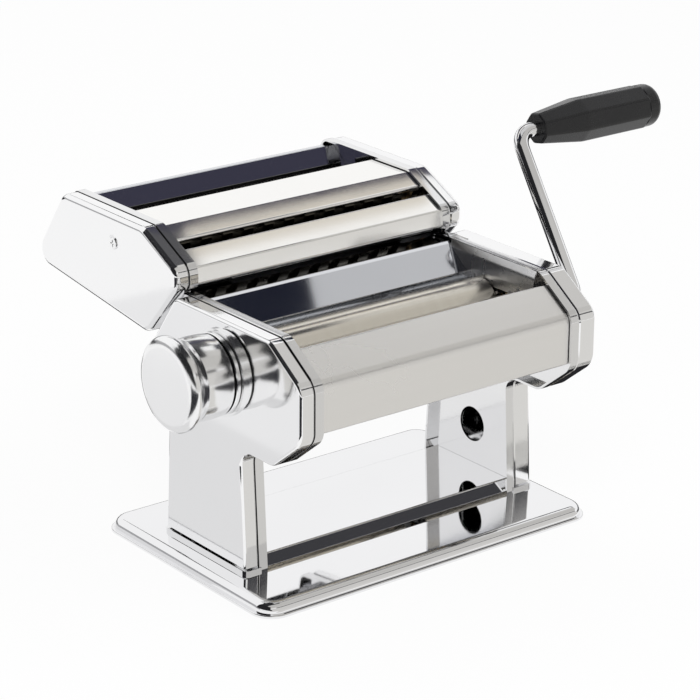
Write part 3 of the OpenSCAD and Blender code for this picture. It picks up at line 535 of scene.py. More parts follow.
    def turned(self, profile: Iterable[Point], steps: int) -> None:
        """Spins a profile round the X axis.

        Args:
            profile: Radius and place along X of each point.
            steps: Flats round the piece.
        """
        verts, edges = self.line((x, 0.0, r) for r, x in profile)
        bmesh.ops.spin(self.bm, geom=verts + edges, cent=(0, 0, 0), axis=(1, 0, 0), dvec=(0, 0, 0),
                       angle=math.tau, steps=steps, use_merge=True, use_duplicate=False)
        bmesh.ops.remove_doubles(self.bm, verts=self.bm.verts[:], dist=1e-4)
        self.outwards()

    def move(self, matrix: Matrix) -> None:
        """Moves or mirrors the whole mesh.

        Args:
            matrix: The move.
        """
        bmesh.ops.transform(self.bm, matrix=matrix, verts=self.bm.verts[:])
        if matrix.determinant() < 0.0:
            self.flip()

    def cut(self, tools: Iterable["Workpiece"]) -> None:
        """Cuts other meshes out of this one.

        Args:
            tools: The meshes to cut with, in the same zero. They are used up.
        """
        for tool in tools:
            own, other = [bpy.data.objects.new(name, bpy.data.meshes.new(name)) for name in ("own", "other")]
            self.bm.to_mesh(own.data)
            tool.bm.to_mesh(other.data)
            for obj in (own, other):
                bpy.context.scene.collection.objects.link(obj)
            step = own.modifiers.new("cut", "BOOLEAN")
            step.operation = "DIFFERENCE"
            step.solver = "EXACT"
            step.object = other
            shaped = own.evaluated_get(bpy.context.evaluated_depsgraph_get()).to_mesh()
            self.bm.clear()
            self.bm.from_mesh(shaped)
            for obj in (own, other):
                mesh = obj.data
                bpy.data.objects.remove(obj)
                bpy.data.meshes.remove(mesh)
            tool.bm.free()

    def deliver(self, place: Place, rides: Rides, slot: Slot, finish: Finish,
                replaces: Sequence[str] = (), second: Optional[Finish] = None) -> None:
        """Turns the mesh into a finished piece of the machine.

        Args:
            place: The sub-assembly's zero.
            rides: The body that the piece moves with.
            slot: The record's material slot. Not used.
            finish: The finish that it wears.
            replaces: The solids that it stands for.
            second: The finish of its marked faces, if there are any.
        """
        self.move(place.matrix())
        bmesh.ops.scale(self.bm, vec=(MM, MM, MM), verts=self.bm.verts[:])
        mesh = bpy.data.meshes.new(self.name)
        self.bm.to_mesh(mesh)
        self.bm.free()
        mesh.shade_smooth()
        mesh.set_sharp_from_angle(angle=SMOOTH_ANGLE)
        for worn in (finish, second):
            if worn:
                mesh.materials.append(worn.material())
        piece = bpy.data.objects.new(self.name, mesh)
        bpy.context.scene.collection.objects.link(piece)
        even = piece.modifiers.new("even shading", "WEIGHTED_NORMAL")
        even.keep_sharp = True
        even.weight = 90
        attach(piece, rides.value)
        if replaces:
            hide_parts(*replaces)
        LOG.info("%s: %d faces", self.name, len(mesh.polygons))


def drum(name: str, x0: float, x1: float, centre: Point, r0: float, r1: Optional[float] = None) -> Workpiece:
    """Makes a closed drum or cone along X.

    Args:
        name: The mesh's name.
        x0: One end.
        x1: The other end.
        centre: Depth and height of its axis.
        r0: Radius at the first end.
        r1: Radius at the other end, if it differs.

    Returns:
        The mesh.
    """
    piece = Workpiece(name)
    piece.turned([(0.0, x0), (r0, x0), (r0 if r1 is None else r1, x1), (0.0, x1)], 48)
    piece.move(Matrix.Translation((0.0, *centre)))
    return piece


@dataclass(frozen=True)
class BentPanel:
    """A sheet bent along X, whose outer face follows a path of depths and heights."""

    name: str
    path: Sequence[Point]
    folds: Sequence[float]
    half: float = 82.2
    sheet: float = 1.0
    fold_flats: int = 6
    edge: float = 0.2
    edge_flats: int = 2
    edge_turn: float = 1.2

    def mesh(self) -> Workpiece:
        """Returns the bent sheet with rounded folds."""
        work = Workpiece(self.name)
        (y0, z0), (y1, z1) = self.path[:2]
        work.sheet([(-self.half, y, z) for y, z in self.path], (2 * self.half, 0.0, 0.0), (0.0, z1 - z0, y0 - y1))
        corners = [(*place, r) for place, r in zip(self.path[1:-1], self.folds)]
        work.round_edges(0, nearest_radius(corners), self.fold_flats)
        work.solidify(self.sheet)
        work.soften(self.edge, self.edge_flats, self.edge_turn)
        return work


# Base


@dataclass
class BasePlate:
    """The pressed tray that the legs stand on."""

    width: float = 211.0
    depth: float = 143.0
    height: float = 7.0
    corner: float = 12.0
    corner_flats: int = 12
    shoulder: float = 5.0
    shoulder_flats: int = 7
    lip: float = 1.6
    lip_edge: float = 0.6
    lip_flats: int = 3
    sheet: float = 1.5
    lap: float = 0.9

    def _block(self, name: str, inset: float, height: float) -> Workpiece:
        """Makes a block with rounded corners that stands on the table.

        Args:
            name: The mesh's name.
            inset: How far its sides lie inside the base's edge.
            height: Its height.

        Returns:
            The mesh.
        """
        work = Workpiece(name)
        x, y = (self.width - 2 * inset) / 2, (self.depth - 2 * inset) / 2
        work.thicken(work.face([(-x, -y, 0.0), (x, -y, 0.0), (x, y, 0.0), (-x, y, 0.0)]), (0.0, 0.0, height))
        work.round_edges(2, lambda mid: self.corner - inset, self.corner_flats)
        return work

    def build(self) -> None:
        """Builds the tray with its rounded shoulder and its lip."""
        tray = self._block("base_tray", self.lip, self.height)
        tray.round_rim(2, self.height, self.shoulder, self.shoulder_flats)
        tray.drop(lambda f: f.normal.z < -SQUARE_ON)
        tray.solidify(self.sheet)
        lip = self._block("base_lip", 0.0, self.sheet)
        lip.round_rim(2, self.sheet, self.lip_edge, self.lip_flats)
        room = self._block("room", self.lip + self.lap, 3 * self.sheet)
        room.move(Matrix.Translation((0.0, 0.0, -self.sheet)))
        lip.cut([room])
        tray.deliver(ON_TABLE, Rides.BODY, Slot.POLISHED, BASE_MIRROR, ["base_plate"])
        lip.deliver(ON_TABLE, Rides.BODY, Slot.POLISHED, BASE_MIRROR)


@dataclass
class CrossPlate:
    """The low platform between the legs, bent down to the base at its front and rear."""

    front: float = -27.82
    rear: float = 36.82
    height: float = 5.5
    foot: float = 0.1
    half: float = 82.2
    sheet: float = 1.2
    slope: float = 3.4
    fold: float = 1.0

    def build(self) -> None:
        """Builds the platform."""
        path = [(self.rear, self.foot), (self.rear - self.slope, self.height),
                (self.front + self.slope, self.height), (self.front, self.foot)]
        panel = BentPanel("cross_platform", path, [self.fold, self.fold], self.half, self.sheet)
        panel.mesh().deliver(ON_BODY, Rides.BODY, Slot.POLISHED, BASE_MIRROR, ["cross_plate"])


# Side frames and covers


@dataclass
class EndShape:
    """Outline and depths of one kind of end: a flanged frame with a cover on it."""

    frame_corners: Sequence[Corner]
    cover_corners: Sequence[Corner]
    cover_rim: float
    seam_until: float
    cover_foot: Optional[float] = None
    web_in: float = 82.3
    sheet: float = 1.2
    flange: float = 5.5
    fold: float = 0.9
    cover_inset: float = 1.1
    cover_sheet: float = 1.0
    cover_back: float = 0.7
    corner_flats: int = 8
    fold_flats: int = 4
    rim_flats: int = 9
    # The range of the X share of a face's normal over which the frame's fold is painted dark as seam shade
    grimed: Point = (0.3, 0.98)

    @property
    def web_out(self) -> float:
        """Returns the frame's outer face."""
        return self.web_in + self.sheet

    def frame_mesh(self, name: str, holes: Sequence[Tuple[Point, float]], grime: bool) -> Workpiece:
        """Makes the flanged frame of the right side.

        Args:
            name: The mesh's name.
            holes: Middle and radius of each hole through the web.
            grime: Whether the frame's fold at the seam between frame and cover is painted dark as shade.

        Returns:
            The mesh.
        """
        work = Workpiece(name)
        work.thicken(work.outline([c[:2] for c in self.frame_corners], self.web_out), (-self.flange, 0.0, 0.0))
        work.round_edges(0, nearest_radius(self.frame_corners), self.corner_flats)
        work.round_rim(0, self.web_out, self.fold, self.fold_flats)
        work.drop(lambda f: f.normal.x < -SQUARE_ON)
        # The frame's rounded fold under the cover's edge gets the near black finish: painted shade along the seam
        low, high = self.grimed
        work.mark(lambda f: grime and low < f.normal.x < high and f.calc_center_median().y < self.seam_until)
        work.solidify(self.sheet)
        work.cut([drum("hole", self.web_in - HOLE_IN, self.web_out + HOLE_IN, p, r) for p, r in holes])
        return work

    def cover_mesh(self, name: str, depth: float, tools: Sequence[Workpiece]) -> Workpiece:
        """Makes the right side's cover with its rounded edge.

        Args:
            name: The mesh's name.
            depth: How far the cover stands out from the frame.
            tools: The meshes that its holes are cut with.

        Returns:
            The mesh.
        """
        work = Workpiece(name)
        face = work.shrink(work.outline([c[:2] for c in self.cover_corners], self.web_out), self.cover_inset)
        work.thicken(face, (depth, 0.0, 0.0))
        work.round_edges(0, nearest_radius(self.cover_corners), self.corner_flats)
        work.round_rim(0, self.web_out + depth, self.cover_rim, self.rim_flats)
        work.round_rim(0, self.web_out, self.cover_back, 1)
        work.drop(lambda f: f.normal.x < -SQUARE_ON)
        if self.cover_foot is not None:
            bmesh.ops.bisect_plane(work.bm, geom=work.bm.faces[:] + work.bm.edges[:] + work.bm.verts[:],
                                   plane_co=(0.0, 0.0, self.cover_foot), plane_no=(0.0, 0.0, -1.0), clear_outer=True)
        work.solidify(self.cover_sheet)
        work.cut(tools)
        return work


BODY_END = EndShape(
    frame_corners=[(34.0, 127.8, 4.0), (-49.7, 127.8, 9.0), (-75.0, 110.9, 9.0), (-75.0, 82.7, 9.0),
                   (-52.0, 64.5, 8.0), (-26.0, 64.5, 8.0), (-29.8, 0.0, 0.0), (38.8, 0.0, 0.0),
                   (35.0, 64.5, 6.0), (45.0, 64.5, 4.0), (58.0, 81.5, 4.0), (58.0, 95.01, 4.0)],
    cover_corners=[(28.2, 127.8, 6.5), (-49.7, 127.8, 8.0), (-75.0, 110.9, 9.0), (-75.0, 82.7, 11.0),
                   (-52.0, 64.5, 9.0), (-26.0, 64.5, 8.0), (-30.46, -12.0, 3.0), (39.46, -12.0, 3.0),
                   (35.0, 64.5, 1.5), (39.2, 64.5, 4.5), (52.2, 81.5, 6.5), (52.2, 95.01, 6.5)],
    cover_rim=1.7, seam_until=27.0, cover_foot=2.8)
SEAT_END = EndShape(
    frame_corners=[(95.5, 28.8, 5.0), (22.5, 28.8, 5.0), (-7.2, 14.0, 7.0), (-7.2, 1.2, 5.0), (-0.51, 1.2, 0.0),
                   (19.5, -26.13, 3.0), (116.7, -14.13, 5.0), (119.0, -4.13, 5.0)],
    cover_corners=[(95.5, 28.8, 9.0), (22.5, 28.8, 9.0), (-7.2, 14.0, 7.0), (-7.2, 4.5, 7.0),
                   (19.5, -26.13, 7.0), (116.7, -14.13, 8.2), (119.0, -4.13, 8.2)],
    cover_rim=3.2, seam_until=200.0)


@dataclass
class BodyEnds:
    """The two frames with legs, and the covers over them."""

    left_depth: float = 8.0
    right_depth: float = 11.0
    clamp_hole: Tuple[Point, float] = ((4.5, 27.0), 9.6)
    crank_hole: Tuple[Point, float] = ((-39.4, 100.5), 8.0)
    foot: float = 1.8
    foot_margin: float = 0.8
    foot_corner: float = 3.0
    foot_flats: int = 6
    leg: Point = (-29.8, 38.8)

    def _foot_plate(self, work: Workpiece, face: float) -> None:
        """Adds the foot plate under a leg.

        Args:
            work: The leg's mesh.
            face: The cover's outer face.
        """
        x0, x1 = BODY_END.web_in, face + self.foot_margin
        y0, y1 = self.leg[0] - self.foot_margin, self.leg[1] + self.foot_margin
        made = bmesh.ops.create_cube(work.bm, size=1.0)["verts"]
        bmesh.ops.scale(work.bm, vec=(x1 - x0, y1 - y0, self.foot), verts=made)
        bmesh.ops.translate(work.bm, vec=((x0 + x1) / 2, (y0 + y1) / 2, self.foot / 2), verts=made)
        outer = [e for e in {e for v in made for e in v.link_edges}
                 if all(v.co.x > x1 - NEAR for v in e.verts) and abs(e.verts[0].co.z - e.verts[1].co.z) > NEAR]
        work.bevel(outer, self.foot_corner, self.foot_flats)

    def build(self) -> None:
        """Builds both ends."""
        for side, depth in ((Side.LEFT, self.left_depth), (Side.RIGHT, self.right_depth)):
            face = BODY_END.web_out + depth
            # Only the left frames get the painted seam shade
            flanged = BODY_END.frame_mesh(f"{side.word}_flanged_frame", [self.clamp_hole], side is Side.LEFT)
            self._foot_plate(flanged, face)
            flanged.move(side.mirror())
            flanged.deliver(ON_BODY, Rides.BODY, Slot.POLISHED, FRAME_STEEL, [f"{side.word}_frame"], SEAM_SHADE)
            tools = []
            if side is Side.RIGHT:
                tools.append(drum("hole", face - HOLE_IN, face + HOLE_OUT, *self.crank_hole))
            cover = BODY_END.cover_mesh(f"{side.word}_end_cover", depth, tools)
            cover.move(side.mirror())
            cover.deliver(ON_BODY, Rides.BODY, Slot.POLISHED, COVER_STEEL, [f"{side.word}_cover"])


@dataclass
class AttachmentEnds:
    """The two frames and covers of the cutter attachment, with their cover screws."""

    depth: float = 8.0
    screw_at: Point = (48.5, 13.7)
    drive_holes: Sequence[Point] = ((33.527, 14.746), (62.0, 2.2))
    hole_r: float = 8.0
    dimple: Vec3 = (5.4, 4.0, 0.55)
    head: Sequence[Point] = ((0.0, 0.0), (3.1, 0.0), (3.1, 0.3), (2.9, 0.5), (2.0, 0.58), (0.0, 0.6))
    head_flats: int = 40
    recess: Point = (1.9, 0.42)
    recess_floor: float = 0.2
    weld: float = 0.01

    def _screw(self, side: Side) -> Workpiece:
        """Makes one flat screw head with a cross recess.

        Args:
            side: The end that it is on.

        Returns:
            The mesh.
        """
        face = SEAT_END.web_out + self.depth - self.dimple[2]
        head = Workpiece(f"cutter_{side.word}_cover_screw")
        head.turned([(r, face + out) for r, out in self.head], self.head_flats)
        long, thin = self.recess
        corner = ((thin, thin), (long, thin), (long, -thin))
        cross = [(y * c - z * s, y * s + z * c) for c, s in ((1, 0), (0, -1), (-1, 0), (0, 1)) for y, z in corner]
        recess = Workpiece("recess")
        recess.thicken(recess.outline(cross, face + self.recess_floor), (1.0, 0.0, 0.0))
        head.cut([recess])
        bmesh.ops.remove_doubles(head.bm, verts=head.bm.verts[:], dist=self.weld)
        bmesh.ops.dissolve_degenerate(head.bm, dist=self.weld, edges=head.bm.edges[:])
        head.move(Matrix.Translation((0.0, *self.screw_at)))
        head.move(side.mirror())
        return head

    def build(self) -> None:
        """Builds both ends of the attachment."""
        face = SEAT_END.web_out + self.depth
        outer, inner, deep = self.dimple
        for side in Side:
            name = f"cutter_{side.word}"
            # Only the left frames get the painted seam shade
            flanged = SEAT_END.frame_mesh(f"{name}_flanged_frame", [], side is Side.LEFT)
            flanged.move(side.mirror())
            flanged.deliver(ON_SEAT, Rides.ATTACHMENT, Slot.POLISHED, FRAME_STEEL, [f"{name}_frame"], SEAM_SHADE)
            tools = [drum("dimple", face - deep, face + deep, self.screw_at, inner, 2 * outer - inner)]
            if side is Side.RIGHT:
                tools += [drum("hole", face - HOLE_IN, face + HOLE_OUT, p, self.hole_r) for p in self.drive_holes]
            cover = SEAT_END.cover_mesh(f"{name}_end_cover", self.depth, tools)
            cover.move(side.mirror())
            cover.deliver(ON_SEAT, Rides.ATTACHMENT, Slot.POLISHED, COVER_STEEL, [f"{name}_cover"])
            stands_for = ["cutter_cover_screws"] if side is Side.LEFT else []
            self._screw(side).deliver(ON_SEAT, Rides.ATTACHMENT, Slot.ZINC, KNOB_SATIN, stands_for)


# Panels, guides and the hopper's teeth


@dataclass
class Panels:
    """The bent panels of the body and of the attachment."""

    front: BentPanel = BentPanel(
        "front_bent_panel", ((-51.77, 119.57), (-54.17, 122.77), (-73.3, 109.99), (-73.3, 84.9), (-69.3, 84.9)),
        (1.4, 6.5, 1.2))
    rear: BentPanel = BentPanel(
        "rear_bent_panel",
        ((56.3, 83.78), (56.3, 94.45), (33.14, 126.1), (21.0, 126.1), (19.2, 125.2), (3.6, 114.7)),
        (2.0, 2.0, 1.0, 2.0))
    cutter_front: BentPanel = BentPanel(
        "cutter_front_bent_panel", ((9.01, 15.78), (6.61, 18.98), (-5.5, 12.95), (-6.8, 4.4), (-4.0, 2.2)),
        (1.4, 1.6, 1.4))
    cutter_centre: BentPanel = BentPanel(
        "cutter_centre_bent_panel", ((59.5, 16.1), (52.5, 27.1), (22.9, 27.1), (12.16, 21.75), (14.56, 18.55)),
        (1.6, 2.0, 1.4))
    cutter_rear: BentPanel = BentPanel(
        "cutter_rear_bent_panel", ((117.17, -4.49), (95.77, 25.5), (92.27, 25.5), (80.27, 16.5)), (1.4, 1.4))

    def build(self) -> None:
        """Builds the five panels."""
        # The chute's and hopper's walls wear the steel with the painted dark reflection
        on_body = ((self.front, PANEL_SATIN), (self.rear, CHUTE_STEEL_AND_REFLECTION))
        on_seat = ((self.cutter_front, PANEL_BRIGHT), (self.cutter_centre, PANEL_BRIGHT),
                   (self.cutter_rear, CHUTE_STEEL_AND_REFLECTION))
        for place, rides, panels in ((ON_BODY, Rides.BODY, on_body), (ON_SEAT, Rides.ATTACHMENT, on_seat)):
            for panel, finish in panels:
                panel.mesh().deliver(place, rides, Slot.SATIN, finish, [panel.name.replace("_bent", "")])


@dataclass
class DoughGuides:
    """The bent sheets that close the ends of the chute, just clear of the rollers' ends."""

    section: Sequence[Point] = ((81.0, 128.4), (78.4, 128.4), (76.4, 123.6), (75.7, 117.0), (75.6, 111.5))
    folds: Sequence[float] = (1.8, 6.0, 8.0)
    fold_flats: int = 6
    front: float = -47.5
    rear: float = 19.0
    sheet: float = 0.6

    def build(self) -> None:
        """Builds both guides."""
        corners = [(*place, r) for place, r in zip(self.section[1:-1], self.folds)]
        for side in Side:
            guide = Workpiece(f"{side.word}_bent_dough_guide")
            guide.sheet([(x, self.front, z) for x, z in self.section], (0.0, self.rear - self.front, 0.0), (0, 0, 1))
            guide.round_edges(1, nearest_radius(corners, (0, 2)), self.fold_flats)
            guide.solidify(self.sheet)
            guide.move(side.mirror())
            guide.deliver(ON_BODY, Rides.BODY, Slot.SATIN, GUIDE_STEEL, [f"{side.word}_dough_guide"])


@dataclass
class HopperTeeth:
    """The dark strip at the foot of the hopper, with its row of fine teeth."""

    pitch: float = 2.2
    count: int = 70
    shares: Sequence[float] = (0.0, 0.2, 0.55, 0.75)
    thick: float = 0.9
    depth: float = 78.9
    foot: float = 13.2
    root: float = 16.0
    tip: float = 17.8
    top: float = 19.4

    def _outlines(self) -> Tuple[List[Point], List[Point]]:
        """Returns the outlines of the toothed sheet and of the strip, across and up."""
        half = self.pitch * self.count / 2
        foot = [(half, self.foot), (-half, self.foot)]
        teeth = [(i * self.pitch - half + self.pitch * share, z) for i in range(self.count)
                 for share, z in zip(self.shares, (self.root, self.tip, self.tip, self.root))]
        return foot + teeth + [(half, self.root)], foot + [(-half, self.top), (half, self.top)]

    def build(self) -> None:
        """Builds the strip and the toothed sheet in front of it."""
        teeth, strip = self._outlines()
        for name, edge, depth, finish in (("hopper_tooth_strip", teeth, self.depth - self.thick, GEAR_STEEL),
                                          ("hopper_dark_strip", strip, self.depth, COMB_BLACK_AND_GAP_SHADE)):
            work = Workpiece(name)
            work.thicken(work.face((x, depth, z) for x, z in edge), (0.0, self.thick, 0.0))
            work.deliver(ON_SEAT, Rides.ATTACHMENT, Slot.ZINC, finish)


# Roller, knob and crank


@dataclass
class AdjustableRoller:
    """The roller that shows in the chute."""

    half: float = 75.0
    radius: float = 14.0
    sleeve: float = 9.05
    chamfer: float = 0.8
    chamfer_bow: float = 0.3
    flats: int = 96

    def build(self) -> None:
        """Builds the roller as one turned tube."""
        work = Workpiece("adjustable_roller_tube")
        h, r, c, s = self.half, self.radius, self.chamfer, self.sleeve
        bow = c * self.chamfer_bow
        work.turned([(s, h), (r - c, h), (r - bow, h - bow), (r, h - c), (r, c - h), (r - bow, bow - h), (r - c, -h),
                     (s, -h), (s, h)], self.flats)
        work.deliver(AT_ROLLER, Rides.ADJUSTABLE_ROLLER, Slot.ROLLER, ROLLER_STEEL, ["adjustable_roller"])


@dataclass
class SettingKnob:
    """The knob that sets the roller gap, measured out from the left cover."""

    face: float = 91.5
    back: float = 1.9
    flats: int = 96
    barrel_l: float = 25.1
    foot_r: float = 20.6
    foot_l: float = 2.6
    foot_edge: float = 0.5
    groove_l: float = 1.3
    groove_deep: float = 1.2
    groove_edge: float = 0.4
    land_dip: float = 0.3
    land_swell: float = 0.7
    land_turn: float = 60.0
    crease: float = 18.6
    crease_in: float = 0.2
    flare_r: float = 23.2
    flare_curve: float = 1.6
    flare_at: Sequence[float] = (0.08, 0.25, 0.45, 0.65, 0.85, 1.0)
    lip: float = 0.3
    gap: float = 0.4
    gap_deep: float = 1.2
    disc_r: float = 24.1
    disc_t: float = 5.0
    disc_edge: Point = (5.4, 4.2)
    disc_back: float = 0.6
    # How far past the two grooves the painted groove shade reaches
    grime: float = 0.05

    def _turned(self, name: str, profile: Sequence[Point]) -> Workpiece:
        """Spins a profile of radius and distance out from the cover."""
        work = Workpiece(name)
        work.turned([(r, -self.face - out) for r, out in profile], self.flats)
        return work

    @staticmethod
    def _arc(middle: Point, radii: Point, start: float, end: float, steps: int) -> List[Point]:
        """Returns points of an arc.

        Args:
            middle: Radius and distance out of the arc's middle.
            radii: The arc's own radii across and along the knob.
            start: Where it starts, in degrees from the radial direction.
            end: Where it ends.
            steps: Straight lines in it.

        Returns:
            The points.
        """
        angles = [math.radians(start + (end - start) * i / steps) for i in range(steps + 1)]
        return [(middle[0] + radii[0] * math.cos(a), middle[1] + radii[1] * math.sin(a)) for a in angles]

    def _barrel(self) -> List[Point]:
        """Returns the barrel's profile: a foot, a groove, a long land and a flare behind the disc."""
        r, b, e, ease, dip = self.foot_r, self.back, self.back + self.barrel_l, self.groove_edge, self.land_dip
        low, fold = b + self.foot_l, b + self.crease
        high, bed = low + self.groove_l, r - self.groove_deep
        flare, edge, gap = self.flare_r, e - self.gap, self.flare_r - self.gap_deep
        rise = e - self.lip - self.gap - fold
        foot = [(0.0, b), (r - self.foot_edge, b), (r, b + self.foot_edge), (r, low - ease), (r - ease, low)]
        groove = [(bed, low), (bed, high), (r - dip, high), (r, high + ease)]
        land = self._arc((r - dip, (high + fold) / 2), (self.land_swell, (fold - high) / 2 - self.foot_edge),
                         -self.land_turn, self.land_turn, 10)
        crease = [(r - self.crease_in / 2, fold - self.crease_in), (r - self.crease_in, fold)]
        swell = [(r + (flare - r) * t ** self.flare_curve, fold + rise * t) for t in self.flare_at]
        return foot + groove + land + crease + swell + [(flare - self.lip, edge), (gap, edge), (gap, e), (0.0, e)]

    def _in_groove(self, part: Face) -> bool:
        """Tells whether a face of the barrel lies in one of its two grooves, which are painted dark as shade."""
        low, end = self.face + self.back + self.foot_l, self.face + self.back + self.barrel_l
        out, by = -part.calc_center_median().x, self.grime
        return low - by < out < low + self.groove_l + by or end - self.gap - by < out < end - by

    def _disc(self) -> List[Point]:
        """Returns the disc's profile, with a wide soft edge in front and a crisp one behind."""
        e, t, r, small = self.back + self.barrel_l, self.disc_t, self.disc_r, self.disc_back
        wide, deep = self.disc_edge
        return [(0.0, e), (r - small, e), *self._arc((r - small, e + small), (small, small), -90, 0, 4),
                *self._arc((r - wide, e + t - deep), (wide, deep), 0, 90, 16), (0.0, e + t)]

    def build(self) -> None:
        """Builds the barrel and the front disc."""
        barrel = self._turned("knob_turned_barrel", self._barrel())
        # The faces in the grooves get the near black finish: painted shade in the grooves
        barrel.mark(self._in_groove)
        barrel.deliver(AT_KNOB, Rides.KNOB, Slot.ALUMINIUM, KNOB_SATIN, ["knob_barrel"], SEAM_SHADE)
        disc = self._turned("knob_front_disc", self._disc())
        disc.deliver(AT_KNOB, Rides.KNOB, Slot.ALUMINIUM, KNOB_SATIN, ["knob_cap"])


@dataclass
class Crank:
    """The bent crank rod, its eight-sided grip and the grip's end cap."""

    rod_r: float = 4.0
    rod_flats: int = 28
    lean: float = 33.0
    reach: float = 95.0
    start: float = 74.0
    arm_x: float = 115.0
    bend: float = 9.0
    bend_steps: int = 10
    pin_short: float = 4.0
    grip_x: float = 128.5
    grip_l: float = 73.0
    grip_sides: int = 8
    grip_edge: float = 1.1
    grip_flats: int = 4
    radii: Vec3 = (8.6, 12.4, 12.3)
    widest: float = 0.38
    bore: Point = (-5.0, 30.0)
    bore_slack: float = 0.05
    cap_l: float = 9.0
    cap_lap: float = 0.5
    cap_share: float = 0.94
    cap_round: float = 0.5
    cap_flats: int = 64

    @staticmethod
    def _begin(work: Workpiece, at: Vec3, radius: float, flats: int) -> Face:
        """Makes the round or many-sided face that a rod or grip is drawn from.

        Args:
            work: The mesh.
            at: The face's middle.
            radius: Its radius.
            flats: Its sides.

        Returns:
            The face.
        """
        turn = Matrix.Translation(at) @ Matrix.Rotation(QUARTER, 4, "Y")
        bmesh.ops.create_circle(work.bm, cap_ends=True, segments=flats, radius=radius, matrix=turn)
        return next(iter(work.bm.faces))

    @staticmethod
    def _run(work: Workpiece, end: Face, along: Vec3) -> Face:
        """Draws the rod's end on in a straight line and returns the new end."""
        verts, end = work.pull(end)
        bmesh.ops.translate(work.bm, vec=along, verts=verts)
        return end

    def _turn(self, work: Workpiece, end: Face, middle: Vec3, angle: float) -> Face:
        """Swings the rod's end on round a bend.

        Args:
            work: The mesh.
            end: The rod's end.
            middle: The bend's middle.
            angle: How far it turns.

        Returns:
            The new end.
        """
        for _ in range(self.bend_steps):
            verts, end = work.pull(end)
            step = Matrix.Rotation(angle / self.bend_steps, 3, "Y")
            bmesh.ops.rotate(work.bm, cent=middle, matrix=step, verts=verts)
        return end

    def _rod(self) -> Workpiece:
        """Sweeps the rod along its two bends."""
        work = Workpiece("crank_bent_rod")
        inner, outer, tip = self.arm_x - self.bend, self.arm_x + self.bend, self.grip_x + self.grip_l - self.pin_short
        end = self._begin(work, (self.start, 0, 0), self.rod_r, self.rod_flats)
        end = self._run(work, end, (inner - self.start, 0, 0))
        end = self._turn(work, end, (inner, 0, self.bend), -QUARTER)
        end = self._run(work, end, (0, 0, self.reach - 2 * self.bend))
        end = self._turn(work, end, (outer, 0, self.reach - self.bend), QUARTER)
        self._run(work, end, (tip - outer, 0, 0))
        work.clear_inside()
        work.outwards()
        return work

    def _grip(self) -> Workpiece:
        """Lofts the eight-sided grip."""
        work = Workpiece("crank_grip_body")
        neck, wide, tail = self.radii
        end = self._begin(work, (self.grip_x, 0, self.reach), neck, self.grip_sides)
        centre = Matrix.Translation((0.0, 0.0, -self.reach))
        for share, grow in ((self.widest, wide / neck), (1 - self.widest, tail / wide)):
            verts, end = work.pull(end)
            bmesh.ops.translate(work.bm, vec=(self.grip_l * share, 0, 0), verts=verts)
            bmesh.ops.scale(work.bm, vec=(1, grow, grow), verts=verts, space=centre)
        work.clear_inside()
        work.outwards()
        work.bevel(work.bm.edges[:], self.grip_edge, self.grip_flats, clamp=True)
        low, high = self.bore
        work.cut([drum("bore", self.grip_x + low, self.grip_x + high, (0.0, self.reach), self.rod_r + self.bore_slack)])
        return work

    def _cap(self) -> Workpiece:
        """Turns the stepped end cap."""
        work = Workpiece("crank_grip_end_cap")
        x, r, n = self.grip_x + self.grip_l, self.radii[2] * self.cap_share, self.cap_l
        edge = n * self.cap_round
        arc = [(r - edge + edge * math.cos(math.radians(a)), x + n - edge + edge * math.sin(math.radians(a)))
               for a in range(0, 91, 15)]
        work.turned([(0.0, x - self.cap_lap), (r, x - self.cap_lap), *arc, (0.0, x + n)], self.cap_flats)
        work.move(Matrix.Translation((0, 0, self.reach)))
        return work

    def build(self) -> None:
        """Builds the crank at its resting lean."""
        for work, rides, slot, finish, nodes in (
                (self._rod(), Rides.CRANK, Slot.POLISHED, CRANK_CHROME, ["crank_rod"]),
                (self._grip(), Rides.GRIP, Slot.PLASTIC, GRIP_BLACK, ["crank_grip"]),
                (self._cap(), Rides.GRIP, Slot.PLASTIC, GRIP_BLACK, ["grip_cap"])):
            work.move(Matrix.Rotation(math.radians(-self.lean), 4, "X"))
            work.deliver(AT_DRIVE, rides, slot, finish, nodes)


# Studio


@dataclass(frozen=True)
class Card:
    """A flat card that only polished metal sees, in metres."""

    name: str
    size: Point
    middle: Vec3
    look: Vec3
    tone: Vec3


UP, DOWN = (0, 0, 1), (0, 0, -1)
TO_REAR, TO_FRONT = (0, 1, 0), (0, -1, 0)
TO_RIGHT, TO_LEFT = (1, 0, 0), (-1, 0, 0)
BLACK_CARD = (0.02, 0.02, 0.022)

